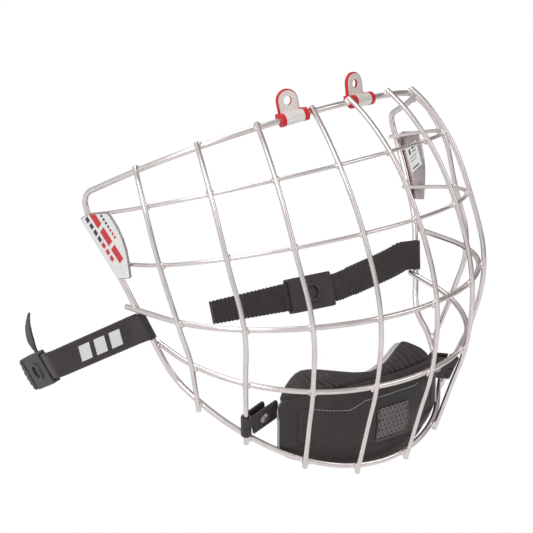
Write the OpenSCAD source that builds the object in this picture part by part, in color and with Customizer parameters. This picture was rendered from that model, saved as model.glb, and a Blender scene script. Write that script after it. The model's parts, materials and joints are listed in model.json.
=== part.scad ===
/* [Cage size] */
// Width between the wire centres at the rear top corners
cage_w = 205; // [195:1:215]
// Drop of the chin wire below the rear top corners, at the rear of its middle bay
chin_drop = 166; // [158:1:174]
// Reach of the brow wire in front of the rear top corners
brow_reach = 87.5; // [84:0.5:91]
// Rise of the brow wire in front of the rear top corners
brow_rise = 20; // [16:0.5:24]
// Reach of the upper sight wire in front of the rear top corners
sight_reach = 106.5; // [103:0.5:110]
// Reach of the mouth wire in front of the rear top corners
mouth_reach = 118.2; // [115:0.5:121]
// Reach of the chin guard wire in front of the rear top corners
guard_reach = 102; // [99:0.5:105]

/* [Wires] */
// Diameter of the edge wire round the whole cage
edge_d = 3; // [2.6:0.1:3.4]
// Diameter of the eight upright wires
upright_d = 2.6; // [2.3:0.1:3]
// Diameter of the two thin wires across the sight line
sight_d = 2; // [1.8:0.1:2.4]
// Diameter of the two wires across the mouth and chin
mouth_d = 2.8; // [2.4:0.1:3.1]
// How deep one wire sinks into another at a weld
weld_sink = 0.08; // [0.02:0.01:0.1]
// How far the upright wires run past the brow wire
top_tail = 1.5; // [0.5:0.1:3]
// How far the upright wires run past the chin wire
low_tail = 3; // [2:0.5:5]
// How far the mouth wire runs past the edge wire at the rear
mouth_tail = 4; // [3:0.5:8]
// Inner radius of the bend at each rear top corner, at the wire centre
corner_bend = 7; // [5:0.5:10]

/* [Side plates] */
// Thickness of the steel side plates
plate_t = 1; // [0.8:0.1:1.5]
// Thickness of the labels
label_t = 0.25; // [0.2:0.05:0.4]
// Margin of the outer label inside the plate
label_margin = 0.5; // [0.4:0.1:2]

/* [Helmet clips] */
// Length of the straight seat of a clip on the brow wire
clip_seat = 17.4; // [16.8:0.2:19]
// Distance of that seat from the middle of the brow wire
clip_start = 13.8; // [13:0.2:15]
// Length of the clip bush along the wire
bush_len = 15.8; // [14:0.2:16.4]
// Wall of the clip bush
bush_wall = 0.95; // [0.8:0.05:1.2]
// Thickness of the clip steel
clip_t = 0.75; // [0.6:0.05:1]
// Width of the clip steel
clip_w = 10.6; // [9:0.2:11.4]
// Height of the screw hole above the wire centre
hole_rise = 8.6; // [8.2:0.2:10]
// Diameter of the screw hole
hole_d = 4.8; // [4.2:0.1:5.4]
// Thickness of the bush ear behind the steel ear
ear_t = 1.5; // [1:0.1:2]
// Forward lean of the clip ears in degrees
ear_lean = 6; // [0:1:12]

/* [Side straps] */
// Width of the strap webbing
strap_w = 15.6; // [14:0.2:16]
// Thickness of one layer of webbing
web_t = 1; // [0.8:0.1:1.2]
// Length of the webbing from the wire to the snap plate
strap_len = 57; // [50:1:64]
// Direction of the left strap, in degrees outward from straight back
strap_turn_left = 28; // [10:1:45]
// Direction of the right strap, in degrees outward from straight back
strap_turn_right = -90; // [-100:1:-70]
// Length of the snap plate
snap_plate_l = 28; // [24:0.5:30]
// Width of the snap plate
snap_plate_w = 18.4; // [18.2:0.2:20]
// Wall of the snap plate above and below the webbing
snap_plate_wall = 0.9; // [0.7:0.1:1.2]
// Outer diameter of the snap ring
snap_d = 11.6; // [10:0.2:13]
// Travel of the snap plate each way along the webbing
slide_room = 3; // [2:0.5:4]
// Length of the ribbed tail past the snap plate
tail_len = 50; // [40:1:56]

/* [Chin cup] */
// Width of the cup across its front
cup_w = 104; // [98:1:106]
// Radius of the cup front in plan
cup_r = 84; // [82:0.5:86]
// Depth of the centre of that radius behind the rear top corners
cup_back = 4; // [3:0.5:6]
// Thickness of the cup shell
shell_t = 2; // [1.6:0.1:2.4]
// Thickness of the foam pad at its crown
pad_t = 7.5; // [6:0.5:9]
// Thickness of the inner liner
liner_t = 1.2; // [1:0.1:1.6]
// Height of the tabs along the wire
tab_w = 13; // [11:0.5:14]
// Thickness of the tabs
tab_t = 1.5; // [1.2:0.1:1.8]
// Diameter of the snap caps on the tabs
cap_d = 5.8; // [5:0.2:7]

/* [Fits] */
// Radial clearance of the clips, straps and tab flaps on their wires
turn_fit = 0.08; // [0.04:0.01:0.1]
// Clearance of the snap plates round the webbing
slide_fit = 0.3; // [0.25:0.05:0.4]

/* [Hidden] */

edge_r = edge_d / 2;
upright_r = upright_d / 2;
sides = 28;
wide = cage_w / 205;
tall = chin_drop / 166;

// The left rear edge: marks where the cross wires and the jaw bend lie, below the top corner
corner = [-cage_w / 2, 0, 0];
edge_marks = [
    [-102.4 * wide, -1.6, -11.5 * tall],
    [-98.2 * wide, -9.6, -39 * tall],
    [-93.6 * wide, -14.1, -61.2 * tall],
    [-86.9 * wide, -15.9, -84.3 * tall],
    [-81.5 * wide, -18.0, -101 * tall]];
// Where the four left uprights cross the chin wire, from the side to the middle
chin_marks = [
    [-76.4 * wide, -30.6, -117.4 * tall],
    [-63.4 * wide, -47.6, -138 * tall],
    [-42.2 * wide, -63.2, -155.8 * tall],
    [-15.8 * wide, -69.6, -165 * tall]];
// Reach and height of the front middle of each cross wire, the brow wire first
fronts = [
    [brow_reach, brow_rise],
    [sight_reach, -8.3 * tall],
    [(sight_reach + mouth_reach) / 2 + 5.2, -44.5 * tall],
    [mouth_reach, -88.9 * tall],
    [guard_reach, -124.6 * tall]];
// Turn of each cross wire from its middle to the start of its side arcs
turns = [65.49, 43.48, 50.76, 48.0, 15.2];
// Radius of the side arcs of each cross wire, as a share of its reach
side_shares = [0.8802, 0.7623, 0.592, 0.6975, 0.8071];
// Radius of the brow wire between its clip seats
middle_bend = 65.5 * wide;
// Angle by which the rear ends of each cross wire spread outward
toes = [15.9, -6.4, -3.2, 2.8, -3.6];
// Length along each cross wire from its middle to each upright
runs = wide * [
    [12.0, 43.6, 75.4, 109.8],
    [16.4, 50.9, 84.4, 120.6],
    [17.8, 54.7, 89.1, 127.0],
    [18.2, 53.9, 88.1, 124.9],
    [17.9, 51.4, 85.1, 116.3]];
cross_r = [edge_d, sight_d, sight_d, mouth_d, mouth_d] / 2;

function unit(v) = v / norm(v);
function mirrored(p) = [-p[0], p[1], p[2]];
function square_to(v, axis) = unit(v - (v * axis) * axis);

// The edge wire runs straight from the third mark to the fourth, where the side strap turns on it
strap_seat_way = unit(edge_marks[3] - edge_marks[2]);
function edge_way(i) = i == 2 || i == 3 ? strap_seat_way :
    unit(unit(edge_marks[i + 1] - edge_marks[i])
        + unit(edge_marks[i] - (i == 0 ? corner : edge_marks[i - 1])));
// Rear point of a cross wire: inside the edge wire, only the mouth wire runs outside it
function rear_point(j) = j == 0 ? corner :
    let (n = unit(cross([0, -1, 0], edge_way(j - 1))), s = j == 3 ? -1 : 1)
    edge_marks[j - 1] + n * s * (edge_r + cross_r[j] - weld_sink);
function rear_w(j) = -rear_point(j)[0];
function front_lift(j) = fronts[j][1] - rear_point(j)[2];
function front_step(j) = -fronts[j][0] - rear_point(j)[1];
function plane_y(j) = unit([0, front_step(j), front_lift(j)]);
function reach(j) = norm([front_step(j), front_lift(j)]);

// In the plane of a cross wire: front arc, clip seat, side arc and straight run, all tangent
function round_at(g) = [sin(g), cos(g)];
function degrees_of(a, r) = a / r * 180 / PI;
function flat_cross(p, q) = p[0] * q[1] - p[1] * q[0];
function seat_len(j) = j == 0 ? clip_seat : 0;
function rear_way(j) = [sin(toes[j]), -cos(toes[j])];
side_bends = [for (j = [0:4]) side_shares[j] * reach(j)];
// The front arc starts in the middle, or on the brow wire at the outer end of the clip seat
function start_turn(j) = j == 0 ? degrees_of(clip_start, middle_bend) : 0;
function front_start(j) = let (g = start_turn(j))
    [0, reach(j)] + (j == 0 ? middle_bend * (round_at(g) - [0, 1]) + clip_seat * [cos(g), -sin(g)] : [0, 0]);
// Its radius and the straight run close the wire on its rear point
function arc_step(j) = round_at(turns[j]) - round_at(start_turn(j));
function arc_gap(j) = [rear_w(j), 0] - front_start(j)
    - side_bends[j] * (round_at(90 - toes[j]) - round_at(turns[j]));
front_bends = [for (j = [0:4]) flat_cross(arc_gap(j), rear_way(j)) / flat_cross(arc_step(j), rear_way(j))];
straight_runs = [for (j = [0:4]) flat_cross(arc_step(j), arc_gap(j)) / flat_cross(arc_step(j), rear_way(j))];
function inner_bend(j) = j == 0 ? middle_bend : front_bends[j];
function seat_turn(j) = degrees_of(clip_start, inner_bend(j));
function seat_way(j) = [cos(seat_turn(j)), -sin(seat_turn(j))];
function front_mid(j) = [0, reach(j) - inner_bend(j)];
function outer_mid(j) = front_start(j) - front_bends[j] * round_at(start_turn(j));
function side_mid(j) = outer_mid(j) + (front_bends[j] - side_bends[j]) * round_at(turns[j]);
function seat_end(j) = clip_start + seat_len(j);
function front_run(j) = seat_end(j) + front_bends[j] * (turns[j] - seat_turn(j)) * PI / 180;
function side_run(j) = side_bends[j] * (90 - toes[j] - turns[j]) * PI / 180;
function flat_turn(j, a) =
    a <= clip_start ? degrees_of(a, inner_bend(j)) :
    a <= seat_end(j) ? seat_turn(j) :
    a <= front_run(j) ? seat_turn(j) + degrees_of(a - seat_end(j), front_bends[j]) :
    a <= front_run(j) + side_run(j) ? turns[j] + degrees_of(a - front_run(j), side_bends[j]) :
        90 - toes[j];
function flat_at(j, a) =
    a <= clip_start ? front_mid(j) + inner_bend(j) * round_at(flat_turn(j, a)) :
    a <= seat_end(j) ? flat_at(j, clip_start) + (a - clip_start) * seat_way(j) :
    a <= front_run(j) ? outer_mid(j) + front_bends[j] * round_at(flat_turn(j, a)) :
    a <= front_run(j) + side_run(j) ? side_mid(j) + side_bends[j] * round_at(flat_turn(j, a)) :
        [rear_w(j), 0] + rear_way(j) * (a - front_run(j) - side_run(j) - straight_runs[j]);
function lift(j, q) = [-q[0], rear_point(j)[1], rear_point(j)[2]] + plane_y(j) * q[1];
function cross_at(j, a) = lift(j, flat_at(j, a));
function cross_way(j, a) = let (g = flat_turn(j, a)) [-cos(g), 0, 0] - plane_y(j) * sin(g);

// Places children in a frame given by its three axes and its origin
module placed(x, y, z, o) {
    multmatrix([[x[0], y[0], z[0], o[0]], [x[1], y[1], z[1], o[1]], [x[2], y[2], z[2], o[2]]])
        children();
}
// Places children at p with their upright axis along the way w
module facing(p, w) {
    x = unit(cross(w, abs(w[0]) < 0.9 ? [1, 0, 0] : [0, 1, 0]));
    placed(x, cross(w, x), w, p)
        children();
}
module tube(p, q, r) {
    facing(p, unit(q - p))
        cylinder(r = r, h = norm(q - p), $fn = sides);
}
module arc_tube(bend_r, angle, r) {
    rotate_extrude(angle = angle, $fn = 180)
        translate([bend_r, 0])
            circle(r = r, $fn = sides);
}
// A circular bend from p along the way t to q, a hair short at both ends
joint_gap = 0.05;
// Turn of each closing ball about its wire
knuckle_turn = 37;
module bend(p, t, q, r) {
    v = q - p;
    side = v - (v * t) * t;
    if (norm(side) < 0.002 * norm(v)) tube(p + t * joint_gap, q - t * joint_gap, r);
    else {
        n = unit(side);
        bend_r = (v * v) / (2 * (v * n));
        gap_turn = degrees_of(joint_gap, bend_r);
        placed(-n, t, cross(t, n), p + n * bend_r)
            rotate([0, 0, gap_turn])
                arc_tube(bend_r, 2 * (atan2(v * n, v * t) - gap_turn), r);
    }
}
// Closes the joint of two wire stretches, where the wire runs along w
module knuckle(p, r, w) {
    facing(p, w)
        rotate([0, 0, knuckle_turn])
            sphere(r = r + 0.02, $fn = sides);
}
function joint_reach(p, t, q, u) =
    let (v = q - p, s = t + u, k = 2 * (1 - t * u))
    k < 1e-6 ? (v * v) / (2 * (v * s)) : (-(v * s) + sqrt((v * s) * (v * s) + k * (v * v))) / k;
function joint_point(p, t, q, u) = let (d = joint_reach(p, t, q, u)) (p + t * d + q - u * d) / 2;
function joint_way(p, t, q, u) = let (d = joint_reach(p, t, q, u)) unit(q - u * d - p - t * d);
// Two tangent bends from one point to the next
module stretch(points, ways, i, r) {
    m = joint_point(points[i], ways[i], points[i + 1], ways[i + 1]);
    w = joint_way(points[i], ways[i], points[i + 1], ways[i + 1]);
    bend(points[i], ways[i], m, r);
    bend(m, w, points[i + 1], r);
    knuckle(m, r, w);
    if (i < len(points) - 2) knuckle(points[i + 1], r, ways[i + 1]);
}
// A wire through the points, one stretch joined to the rest at a time
module bent_wire(points, ways, r, i = 0) {
    if (i == len(points) - 2) stretch(points, ways, i, r);
    else union() {
        stretch(points, ways, i, r);
        bent_wire(points, ways, r, i + 1);
    }
}
function way_at(p, i) = let (a = p[i] - p[i - 1], b = p[i + 1] - p[i])
    unit(unit(a) * norm(b) + unit(b) * norm(a));

// A cross wire in its own plane
module flat_wire(j, r, tail) {
    join = outer_mid(j) + front_bends[j] * round_at(turns[j]);
    low = [rear_w(j), 0] - rear_way(j) * straight_runs[j];
    y = plane_y(j);
    placed([1, 0, 0], y, cross([1, 0, 0], y), [0, rear_point(j)[1], rear_point(j)[2]]) {
        translate([0, front_mid(j)[1], 0])
            rotate([0, 0, 90 - turns[j]])
                arc_tube(front_bends[j], 2 * turns[j], r);
        for (s = [-1, 1]) {
            translate([s * side_mid(j)[0], side_mid(j)[1], 0])
                rotate([0, 0, s > 0 ? toes[j] : 90 + turns[j]])
                    arc_tube(side_bends[j], 90 - toes[j] - turns[j], r);
            knuckle([s * join[0], join[1], 0], r, [s * cos(turns[j]), -sin(turns[j]), 0]);
            knuckle([s * low[0], low[1], 0], r, [s * rear_way(j)[0], rear_way(j)[1], 0]);
            translate([s * low[0], low[1], 0])
                rotate([90, 0, s * toes[j]])
                    cylinder(r = r, h = straight_runs[j] + tail, $fn = sides);
        }
    }
}
// Edge wire: brow, top corners, rear edges and the chin wire in one loop
down_way = unit(edge_marks[0] - corner);
back_way = cross_way(0, front_run(0) + side_run(0));
corner_set = corner_bend * tan(acos(back_way * down_way) / 2);
edge_points = concat([corner + down_way * corner_set], edge_marks, chin_marks);
chin_way = way_at(concat(edge_points, [mirrored(chin_marks[3])]), len(edge_points) - 1);
edge_ways = [for (i = [0:len(edge_points) - 1])
    i == 0 ? down_way :
    i == 3 || i == 4 ? strap_seat_way :
    i == len(edge_points) - 1 ? chin_way :
    way_at(edge_points, i)];
// Half of the brow wire: clip seat, outer arc, side arc and straight run up to the corner bend
brow_stops = [clip_start, seat_end(0), front_run(0), front_run(0) + side_run(0),
    front_run(0) + side_run(0) + straight_runs[0] - corner_set];
module brow_side(i = 0) {
    p = cross_at(0, brow_stops[i]);
    q = cross_at(0, brow_stops[i + 1]);
    if (i == len(brow_stops) - 2) bend(p, cross_way(0, brow_stops[i + 1]), q, edge_r);
    else union() {
        bend(p, cross_way(0, brow_stops[i]), q, edge_r);
        knuckle(q, edge_r, cross_way(0, brow_stops[i + 1]));
        brow_side(i + 1);
    }
}
module edge_side() {
    union() {
        brow_side();
        union() {
            bend(corner - back_way * corner_set, back_way, corner + down_way * corner_set, edge_r);
            knuckle(corner - back_way * corner_set, edge_r, back_way);
            union() {
                knuckle(corner + down_way * corner_set, edge_r, down_way);
                bent_wire(edge_points, edge_ways, edge_r);
            }
        }
    }
}
module edge_half() {
    union() {
        edge_side();
        knuckle(cross_at(0, clip_start), edge_r, cross_way(0, clip_start));
        knuckle(chin_marks[3], edge_r, chin_way);
    }
}
module edge_wire() {
    brow_end = cross_at(0, clip_start);
    color("silver")
    union() {
        union() {
            edge_half();
            bend(brow_end, -cross_way(0, clip_start), mirrored(brow_end), edge_r);
        }
        union() {
            mirror([1, 0, 0]) edge_half();
            bend(chin_marks[3], chin_way, mirrored(chin_marks[3]), edge_r);
        }
    }
}
module cross_wire_1() {
    color("silver") flat_wire(1, cross_r[1], edge_r);
}
module cross_wire_2() {
    color("silver") flat_wire(2, cross_r[2], edge_r);
}
module cross_wire_3() {
    color("silver") flat_wire(3, cross_r[3], mouth_tail);
}
module cross_wire_4() {
    color("silver") flat_wire(4, cross_r[4], edge_r);
}

// Points of an upright: outside each cross wire, with a straight lower leg
function upright_base(k) = concat([for (j = [0:4]) cross_at(j, runs[j][k])], [chin_marks[3 - k]]);
function upright_out(b, k, j) =
    let (n = len(b), t = unit(b[min(j + 1, n - 1)] - b[max(j - 1, 0)]),
        w = j < n - 1 ? cross_way(j, runs[j][k]) : edge_ways[len(edge_ways) - 1 - k],
        out = unit(cross(w, t)))
    out * (out * [b[j][0], b[j][1] + 20, 0] > 0 ? 1 : -1);
function crossing_points(k) = let (b = upright_base(k))
    [for (j = [0:5]) b[j] + upright_out(b, k, j)
        * (upright_r + (j < 5 ? cross_r[j] : edge_r) - weld_sink)];
function upright_points(k) = let (p = crossing_points(k))
    [for (j = [0:4]) p[j], (p[4] + p[5]) / 2, p[5]];
function leg_way(k) = let (p = upright_points(k)) unit(p[6] - p[5]);
function upright_ways(k) = let (p = upright_points(k))
    [for (i = [0:6]) i == 0 ? unit(3 * (p[1] - p[0]) - (p[2] - p[1])) :
        i < 5 ? way_at(p, i) : unit(p[6] - p[5])];
module upright(k) {
    p = upright_points(k);
    w = upright_ways(k);
    union() {
        bent_wire(p, w, upright_r);
        tube(p[0] - w[0] * top_tail, p[0], upright_r);
        knuckle(p[0], upright_r, w[0]);
        tube(p[6], p[6] + w[6] * low_tail, upright_r);
        knuckle(p[6], upright_r, w[6]);
    }
}
module upright_left_1() {
    color("silver") upright(3);
}
module upright_left_2() {
    color("silver") upright(2);
}
module upright_left_3() {
    color("silver") upright(1);
}
module upright_left_4() {
    color("silver") upright(0);
}
module upright_right_1() {
    color("silver") mirror([1, 0, 0]) upright(3);
}
module upright_right_2() {
    color("silver") mirror([1, 0, 0]) upright(2);
}
module upright_right_3() {
    color("silver") mirror([1, 0, 0]) upright(1);
}
module upright_right_4() {
    color("silver") mirror([1, 0, 0]) upright(0);
}

// Side plate frame: its inner face touches the crown of the edge wire and the upper sight wire
plate_mid = joint_point(edge_points[1], edge_ways[1], edge_points[2], edge_ways[2]);
plate_touch = cross_at(1, front_run(1) + side_run(1) + straight_runs[1] - 20) + [edge_r - cross_r[1], 0, 0];
plate_x = joint_way(edge_points[1], edge_ways[1], edge_points[2], edge_ways[2]);
plate_y = square_to(plate_touch - plate_mid, plate_x);
plate_n = cross(plate_x, plate_y);
label_film = 0.02;
module plate_outline(inset) {
    offset(r = 0.8)
        offset(delta = -0.8 - inset)
            polygon([[-15.6, -1], [-14.9, 5.8], [-9.2, 18.8], [-6.6, 19.8], [0.5, 19.8], [6.5, 18.5],
                [12.7, 16], [18.9, 12], [25.3, 7.2], [21.4, -1.5]]);
}
module on_plate(rise) {
    placed(plate_x, plate_y, plate_n, plate_mid + plate_n * (edge_r - weld_sink / 2 + rise))
        children();
}
module side_plate() {
    on_plate(0)
        linear_extrude(plate_t)
            plate_outline(0);
}
module side_label() {
    on_plate(plate_t + label_film)
        linear_extrude(label_t)
            plate_outline(label_margin);
}
module side_plate_left() {
    color("gainsboro") side_plate();
}
module side_plate_right() {
    color("gainsboro") mirror([1, 0, 0]) side_plate();
}
module side_label_left() {
    color("white") side_label();
}
module side_label_right() {
    color("white") mirror([1, 0, 0]) side_label();
}
module inner_label_right() {
    color("white")
    mirror([1, 0, 0])
        on_plate(-label_t - label_film)
            linear_extrude(label_t)
                translate([-5.2, 4.2])
                    square([14, 12.2]);
}

// Helmet clip frame: along the wire, out to the front and up the ear
clip_mid = cross_at(0, clip_start + clip_seat / 2);
clip_x = cross_way(0, clip_start + clip_seat / 2);
clip_z = square_to([0, -sin(ear_lean), cos(ear_lean)], clip_x);
bush_r = edge_r + turn_fit + bush_wall;
steel_in = bush_r + 0.02;
steel_out = steel_in + clip_t;
ear_r = clip_w / 2;
module in_clip_frame() {
    placed(clip_x, cross(clip_z, clip_x), clip_z, clip_mid)
        children();
}
// A cylinder along the wire, centred
module along(r, l) {
    rotate([0, 90, 0])
        cylinder(r = r, h = l, center = true, $fn = 64);
}
module ear(w, back, t) {
    translate([0, -back, 0])
        rotate([90, 0, 0])
            linear_extrude(t)
                union() {
                    translate([-w / 2, 0]) square([w, hole_rise]);
                    translate([0, hole_rise]) circle(r = w / 2, $fn = 64);
                }
}
module screw_hole() {
    translate([0, 0, hole_rise])
        rotate([90, 0, 0])
            cylinder(r = hole_d / 2, h = 20, center = true, $fn = 48);
}
module clip_steel() {
    in_clip_frame()
        difference() {
            union() {
                along(steel_out, clip_w);
                ear(clip_w, steel_in, clip_t);
            }
            along(steel_in, clip_w + 2);
            screw_hole();
        }
}
flange_len = (bush_len - clip_w) / 2 - 0.1;
module clip_bush() {
    in_clip_frame()
        difference() {
            union() {
                along(bush_r, bush_len);
                for (s = [-1, 1])
                    translate([s * (bush_len - flange_len) / 2, 0, 0]) {
                        along(steel_out + 0.15, flange_len);
                        translate([-flange_len / 2, -steel_out - 0.05 - ear_t, -1.5])
                            cube([flange_len, ear_t + steel_out - bush_r + 1, 4.5]);
                    }
                ear(clip_w + 1.4, steel_out + 0.05, ear_t);
                translate([-bush_len / 2, -steel_out - 0.05 - ear_t, -1.5])
                    cube([bush_len, ear_t, 4.5]);
            }
            along(edge_r + turn_fit, bush_len + 2);
            screw_hole();
        }
}
module clip_steel_left() {
    color("lightgray") clip_steel();
}
module clip_steel_right() {
    color("lightgray") mirror([1, 0, 0]) clip_steel();
}
module clip_bush_left() {
    color("crimson") clip_bush();
}
module clip_bush_right() {
    color("crimson") mirror([1, 0, 0]) clip_bush();
}

// Side strap frame: out along the strap, down the wire and square to both
strap_mid = (edge_marks[2] + edge_marks[3]) / 2;
module in_strap_frame(turn) {
    u = square_to([-sin(turn), cos(turn), 0], strap_seat_way);
    placed(u, strap_seat_way, cross(u, strap_seat_way), strap_mid)
        children();
}
loop_in = edge_r + turn_fit;
loop_out = loop_in + web_t;
// Edges of a ribbon along a path with its half widths
function ribbon_side(path, half, s) = [for (i = [0:len(path) - 1])
    let (a = path[max(i - 1, 0)], b = path[min(i + 1, len(path) - 1)],
        d = i == 0 ? [1, 0] : unit(b - a))
    path[i] + s * half[i] * [-d[1], d[0]]];
function turned(v) = [for (i = [len(v) - 1:-1:0]) v[i]];
module ribbon(path, half, t) {
    translate([0, 0, -t / 2])
        linear_extrude(t)
            polygon(concat(ribbon_side(path, half, -1), turned(ribbon_side(path, half, 1))));
}
// The sewn loop round the wire, its legs closing on the doubled webbing
module strap_loop(drop) {
    translate([0, drop - strap_w / 2, 0])
        rotate([-90, 0, 0])
            difference() {
                union() {
                    cylinder(r = loop_out, h = strap_w, $fn = 48);
                    linear_extrude(strap_w)
                        polygon([[0.6, loop_out * 0.97], [9, web_t], [9, -web_t], [0.6, -loop_out * 0.97]]);
                }
                translate([0, 0, -1]) cylinder(r = loop_in, h = strap_w + 2, $fn = 48);
            }
}
// Path of each strap in its own plane, the wire at the start
drop_right = 1.8;
bend_left = 40;
end_w = strap_w - 0.6;
end_way = 13;
end_len = snap_plate_l + 2 * (slide_room + 1);
right_path = [
    [8, drop_right + 2.4],
    [strap_len - 11, drop_right + 18.2],
    [strap_len - 5, drop_right + 20.6]];
right_end = right_path[2] + end_len * [cos(end_way), sin(end_way)];
module strap_right_body() {
    in_strap_frame(strap_turn_right) {
        strap_loop(drop_right);
        ribbon(concat(right_path, [right_end]), [strap_w, strap_w, end_w, end_w] / 2, 2 * web_t);
    }
}
// Ribbed tail: a slimmer strip with cross ribs
module ribbed_strip(l, w0, w1) {
    pitch = 2.5;
    count = floor(l / pitch);
    step = l / count;
    translate([0, 0, -web_t])
        linear_extrude(2 * web_t)
            polygon(concat(
                [for (i = [0:count - 1], e = [0, 0.3, 0.55, 0.85])
                    let (x = (i + e) * step, w = w0 + (w1 - w0) * x / l)
                    [x, -w / 2 - (e == 0.3 || e == 0.55 ? 0.35 : 0)]],
                [for (i = [count - 1:-1:0], e = [0.85, 0.55, 0.3, 0])
                    let (x = (i + e) * step, w = w0 + (w1 - w0) * x / l)
                    [x, w / 2 + (e == 0.3 || e == 0.55 ? 0.35 : 0)]]));
}
module strap_tail_right_body() {
    in_strap_frame(strap_turn_right)
        translate([right_end[0], right_end[1], 0])
            rotate([0, 0, end_way])
                translate([0.05, 0, 0])
                    ribbed_strip(tail_len - slide_room - 1, strap_w - 1.4, strap_w - 4);
}
// The left strap bends inward before its snap plate, and its tail curls up
left_bend_r = 7;
left_bend_at = strap_len + 2;
left_shift = 2;
left_slant = 9;
module in_left_end() {
    in_strap_frame(strap_turn_left)
        translate([left_bend_at, left_shift, -left_bend_r])
            rotate([0, bend_left, 0])
                translate([0, 0, left_bend_r])
                    rotate([0, 0, left_slant])
                        children();
}
// Side view of the left webbing, from the loop through its bend to the end
function round_part(r, steps) = [for (i = [0:steps]) let (g = bend_left * i / steps)
    [left_bend_at + r * sin(g), r * cos(g) - left_bend_r]];
left_way = [cos(bend_left), -sin(bend_left)];
left_top = round_part(left_bend_r + web_t, 12);
left_low = round_part(left_bend_r - web_t, 12);
// Plan of the left webbing past its bend: s along its end, e across it
function left_plan(s, e) = [
    left_bend_at + left_bend_r * sin(bend_left) + cos(bend_left) * (s * cos(left_slant) - e * sin(left_slant)),
    left_shift + s * sin(left_slant) + e * cos(left_slant)];
module strap_left_body() {
    half = end_w / 2;
    run = 3;
    in_strap_frame(strap_turn_left) {
        strap_loop(0);
        intersection() {
            translate([0, strap_w / 2 + 2, 0])
                rotate([90, 0, 0])
                    linear_extrude(strap_w + 4)
                        polygon(concat([[8, -web_t], [8, web_t]], left_top,
                            [left_top[12] + left_way * (run + 2), left_low[12] + left_way * (run + 2)],
                            turned(left_low)));
            translate([0, 0, -60])
                linear_extrude(80)
                    polygon([[8, -strap_w / 2], [left_bend_at - 2, left_shift - half], left_plan(0, -half),
                        left_plan(run, -half), left_plan(run, half), left_plan(0, half),
                        [left_bend_at - 2, left_shift + half], [8, strap_w / 2]]);
        }
    }
    end_t = web_t - 0.02;
    in_left_end()
        translate([0.5, -half, -end_t])
            cube([end_len - 0.5, 2 * half, 2 * end_t]);
}
// Left tail: a toothed end, and a leaf that folds in behind it and curls up
leaf_r = 25;
leaf_t = 1.2;
module strap_tail_left_body() {
    in_left_end()
        translate([end_len + 0.05, 0, 0]) {
            translate([0, 0, -1.6])
                linear_extrude(3.2)
                    polygon([[0, -8.5], [2.5, -9], [5, -7.5], [4, -6], [6, -4.5], [5, -3], [7, -1.2], [5.6, 0.3],
                        [7, 2], [5.4, 3.4], [6.6, 5], [4.8, 6.4], [5.6, 8], [3, 9], [0, 8.5]]);
            translate([0.4, -8.4, -9.6])
                cube([4, leaf_t, 9]);
            intersection() {
                translate([2.4, -10.1, -34.2])
                    rotate([90, 0, 90])
                        rotate([0, 0, 84])
                            rotate_extrude(angle = 52, $fn = 96)
                                translate([leaf_r - leaf_t / 2, -6])
                                    square([leaf_t, 12]);
                translate([2.4, 0, -20])
                    linear_extrude(20)
                        polygon([[-2, -7], [-5.4, -15], [-5, -20], [-0.8, -28.6], [0.8, -28.6], [4.6, -22],
                            [5.2, -16], [2, -7]]);
            }
        }
}
module strap_left() {
    color("dimgray") strap_left_body();
}
module strap_right() {
    color("dimgray") mirror([1, 0, 0]) strap_right_body();
}
module strap_tail_left() {
    color("dimgray") strap_tail_left_body();
}
module strap_tail_right() {
    color("dimgray") mirror([1, 0, 0]) strap_tail_right_body();
}
// Snap plate: a flat sleeve that slides on the webbing, with a snap ring on its face
plate_h = 2 * web_t + 2 * slide_fit + 2 * snap_plate_wall;
module snap_plate_body() {
    difference() {
        linear_extrude(plate_h, center = true)
            offset(r = 1.2, $fn = 24)
                square([snap_plate_l - 2.4, snap_plate_w - 2.4], center = true);
        cube([snap_plate_l + 2, end_w + 2 * slide_fit, 2 * web_t + 2 * slide_fit], center = true);
    }
}
module snap_ring_body() {
    translate([0, 0, plate_h / 2])
        difference() {
            cylinder(r1 = snap_d / 2, r2 = snap_d / 2 - 0.6, h = 1.1, $fn = 64);
            translate([0, 0, -1]) cylinder(r = snap_d / 2 - 2.2, h = 4, $fn = 64);
        }
}
module at_left_plate() {
    in_left_end()
        translate([snap_plate_l / 2 + slide_room + 1, 0, 0])
            children();
}
module at_right_plate() {
    in_strap_frame(strap_turn_right)
        translate([right_path[2][0], right_path[2][1], 0])
            rotate([0, 0, end_way])
                translate([snap_plate_l / 2 + slide_room + 1, 0, 0])
                    children();
}
module snap_plate_left() {
    color("#2b2b2e") at_left_plate() snap_plate_body();
}
module snap_plate_right() {
    color("#2b2b2e") mirror([1, 0, 0]) at_right_plate() mirror([0, 0, 1]) snap_plate_body();
}
module snap_ring_left() {
    color("#1c1c1e") at_left_plate() snap_ring_body();
}
module snap_ring_right() {
    color("#1c1c1e") mirror([1, 0, 0]) at_right_plate() mirror([0, 0, 1]) snap_ring_body();
}

// Chin cup: turned about an upright axis behind the front, then cut to its front outline
cup_floor = -163.5 * tall;
cup_side = cup_w / 2;
cup_span = 96;
module cup_turned(points) {
    translate([0, cup_back, 0])
        rotate([0, 0, -90 - cup_span / 2])
            rotate_extrude(angle = cup_span, $fn = 180)
                polygon(points);
}
module front_cut(points) {
    translate([0, 10, 0])
        rotate([90, 0, 0])
            linear_extrude(120)
                offset(r = 5, $fn = 48)
                    offset(delta = -5)
                        polygon(points);
}
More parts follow.
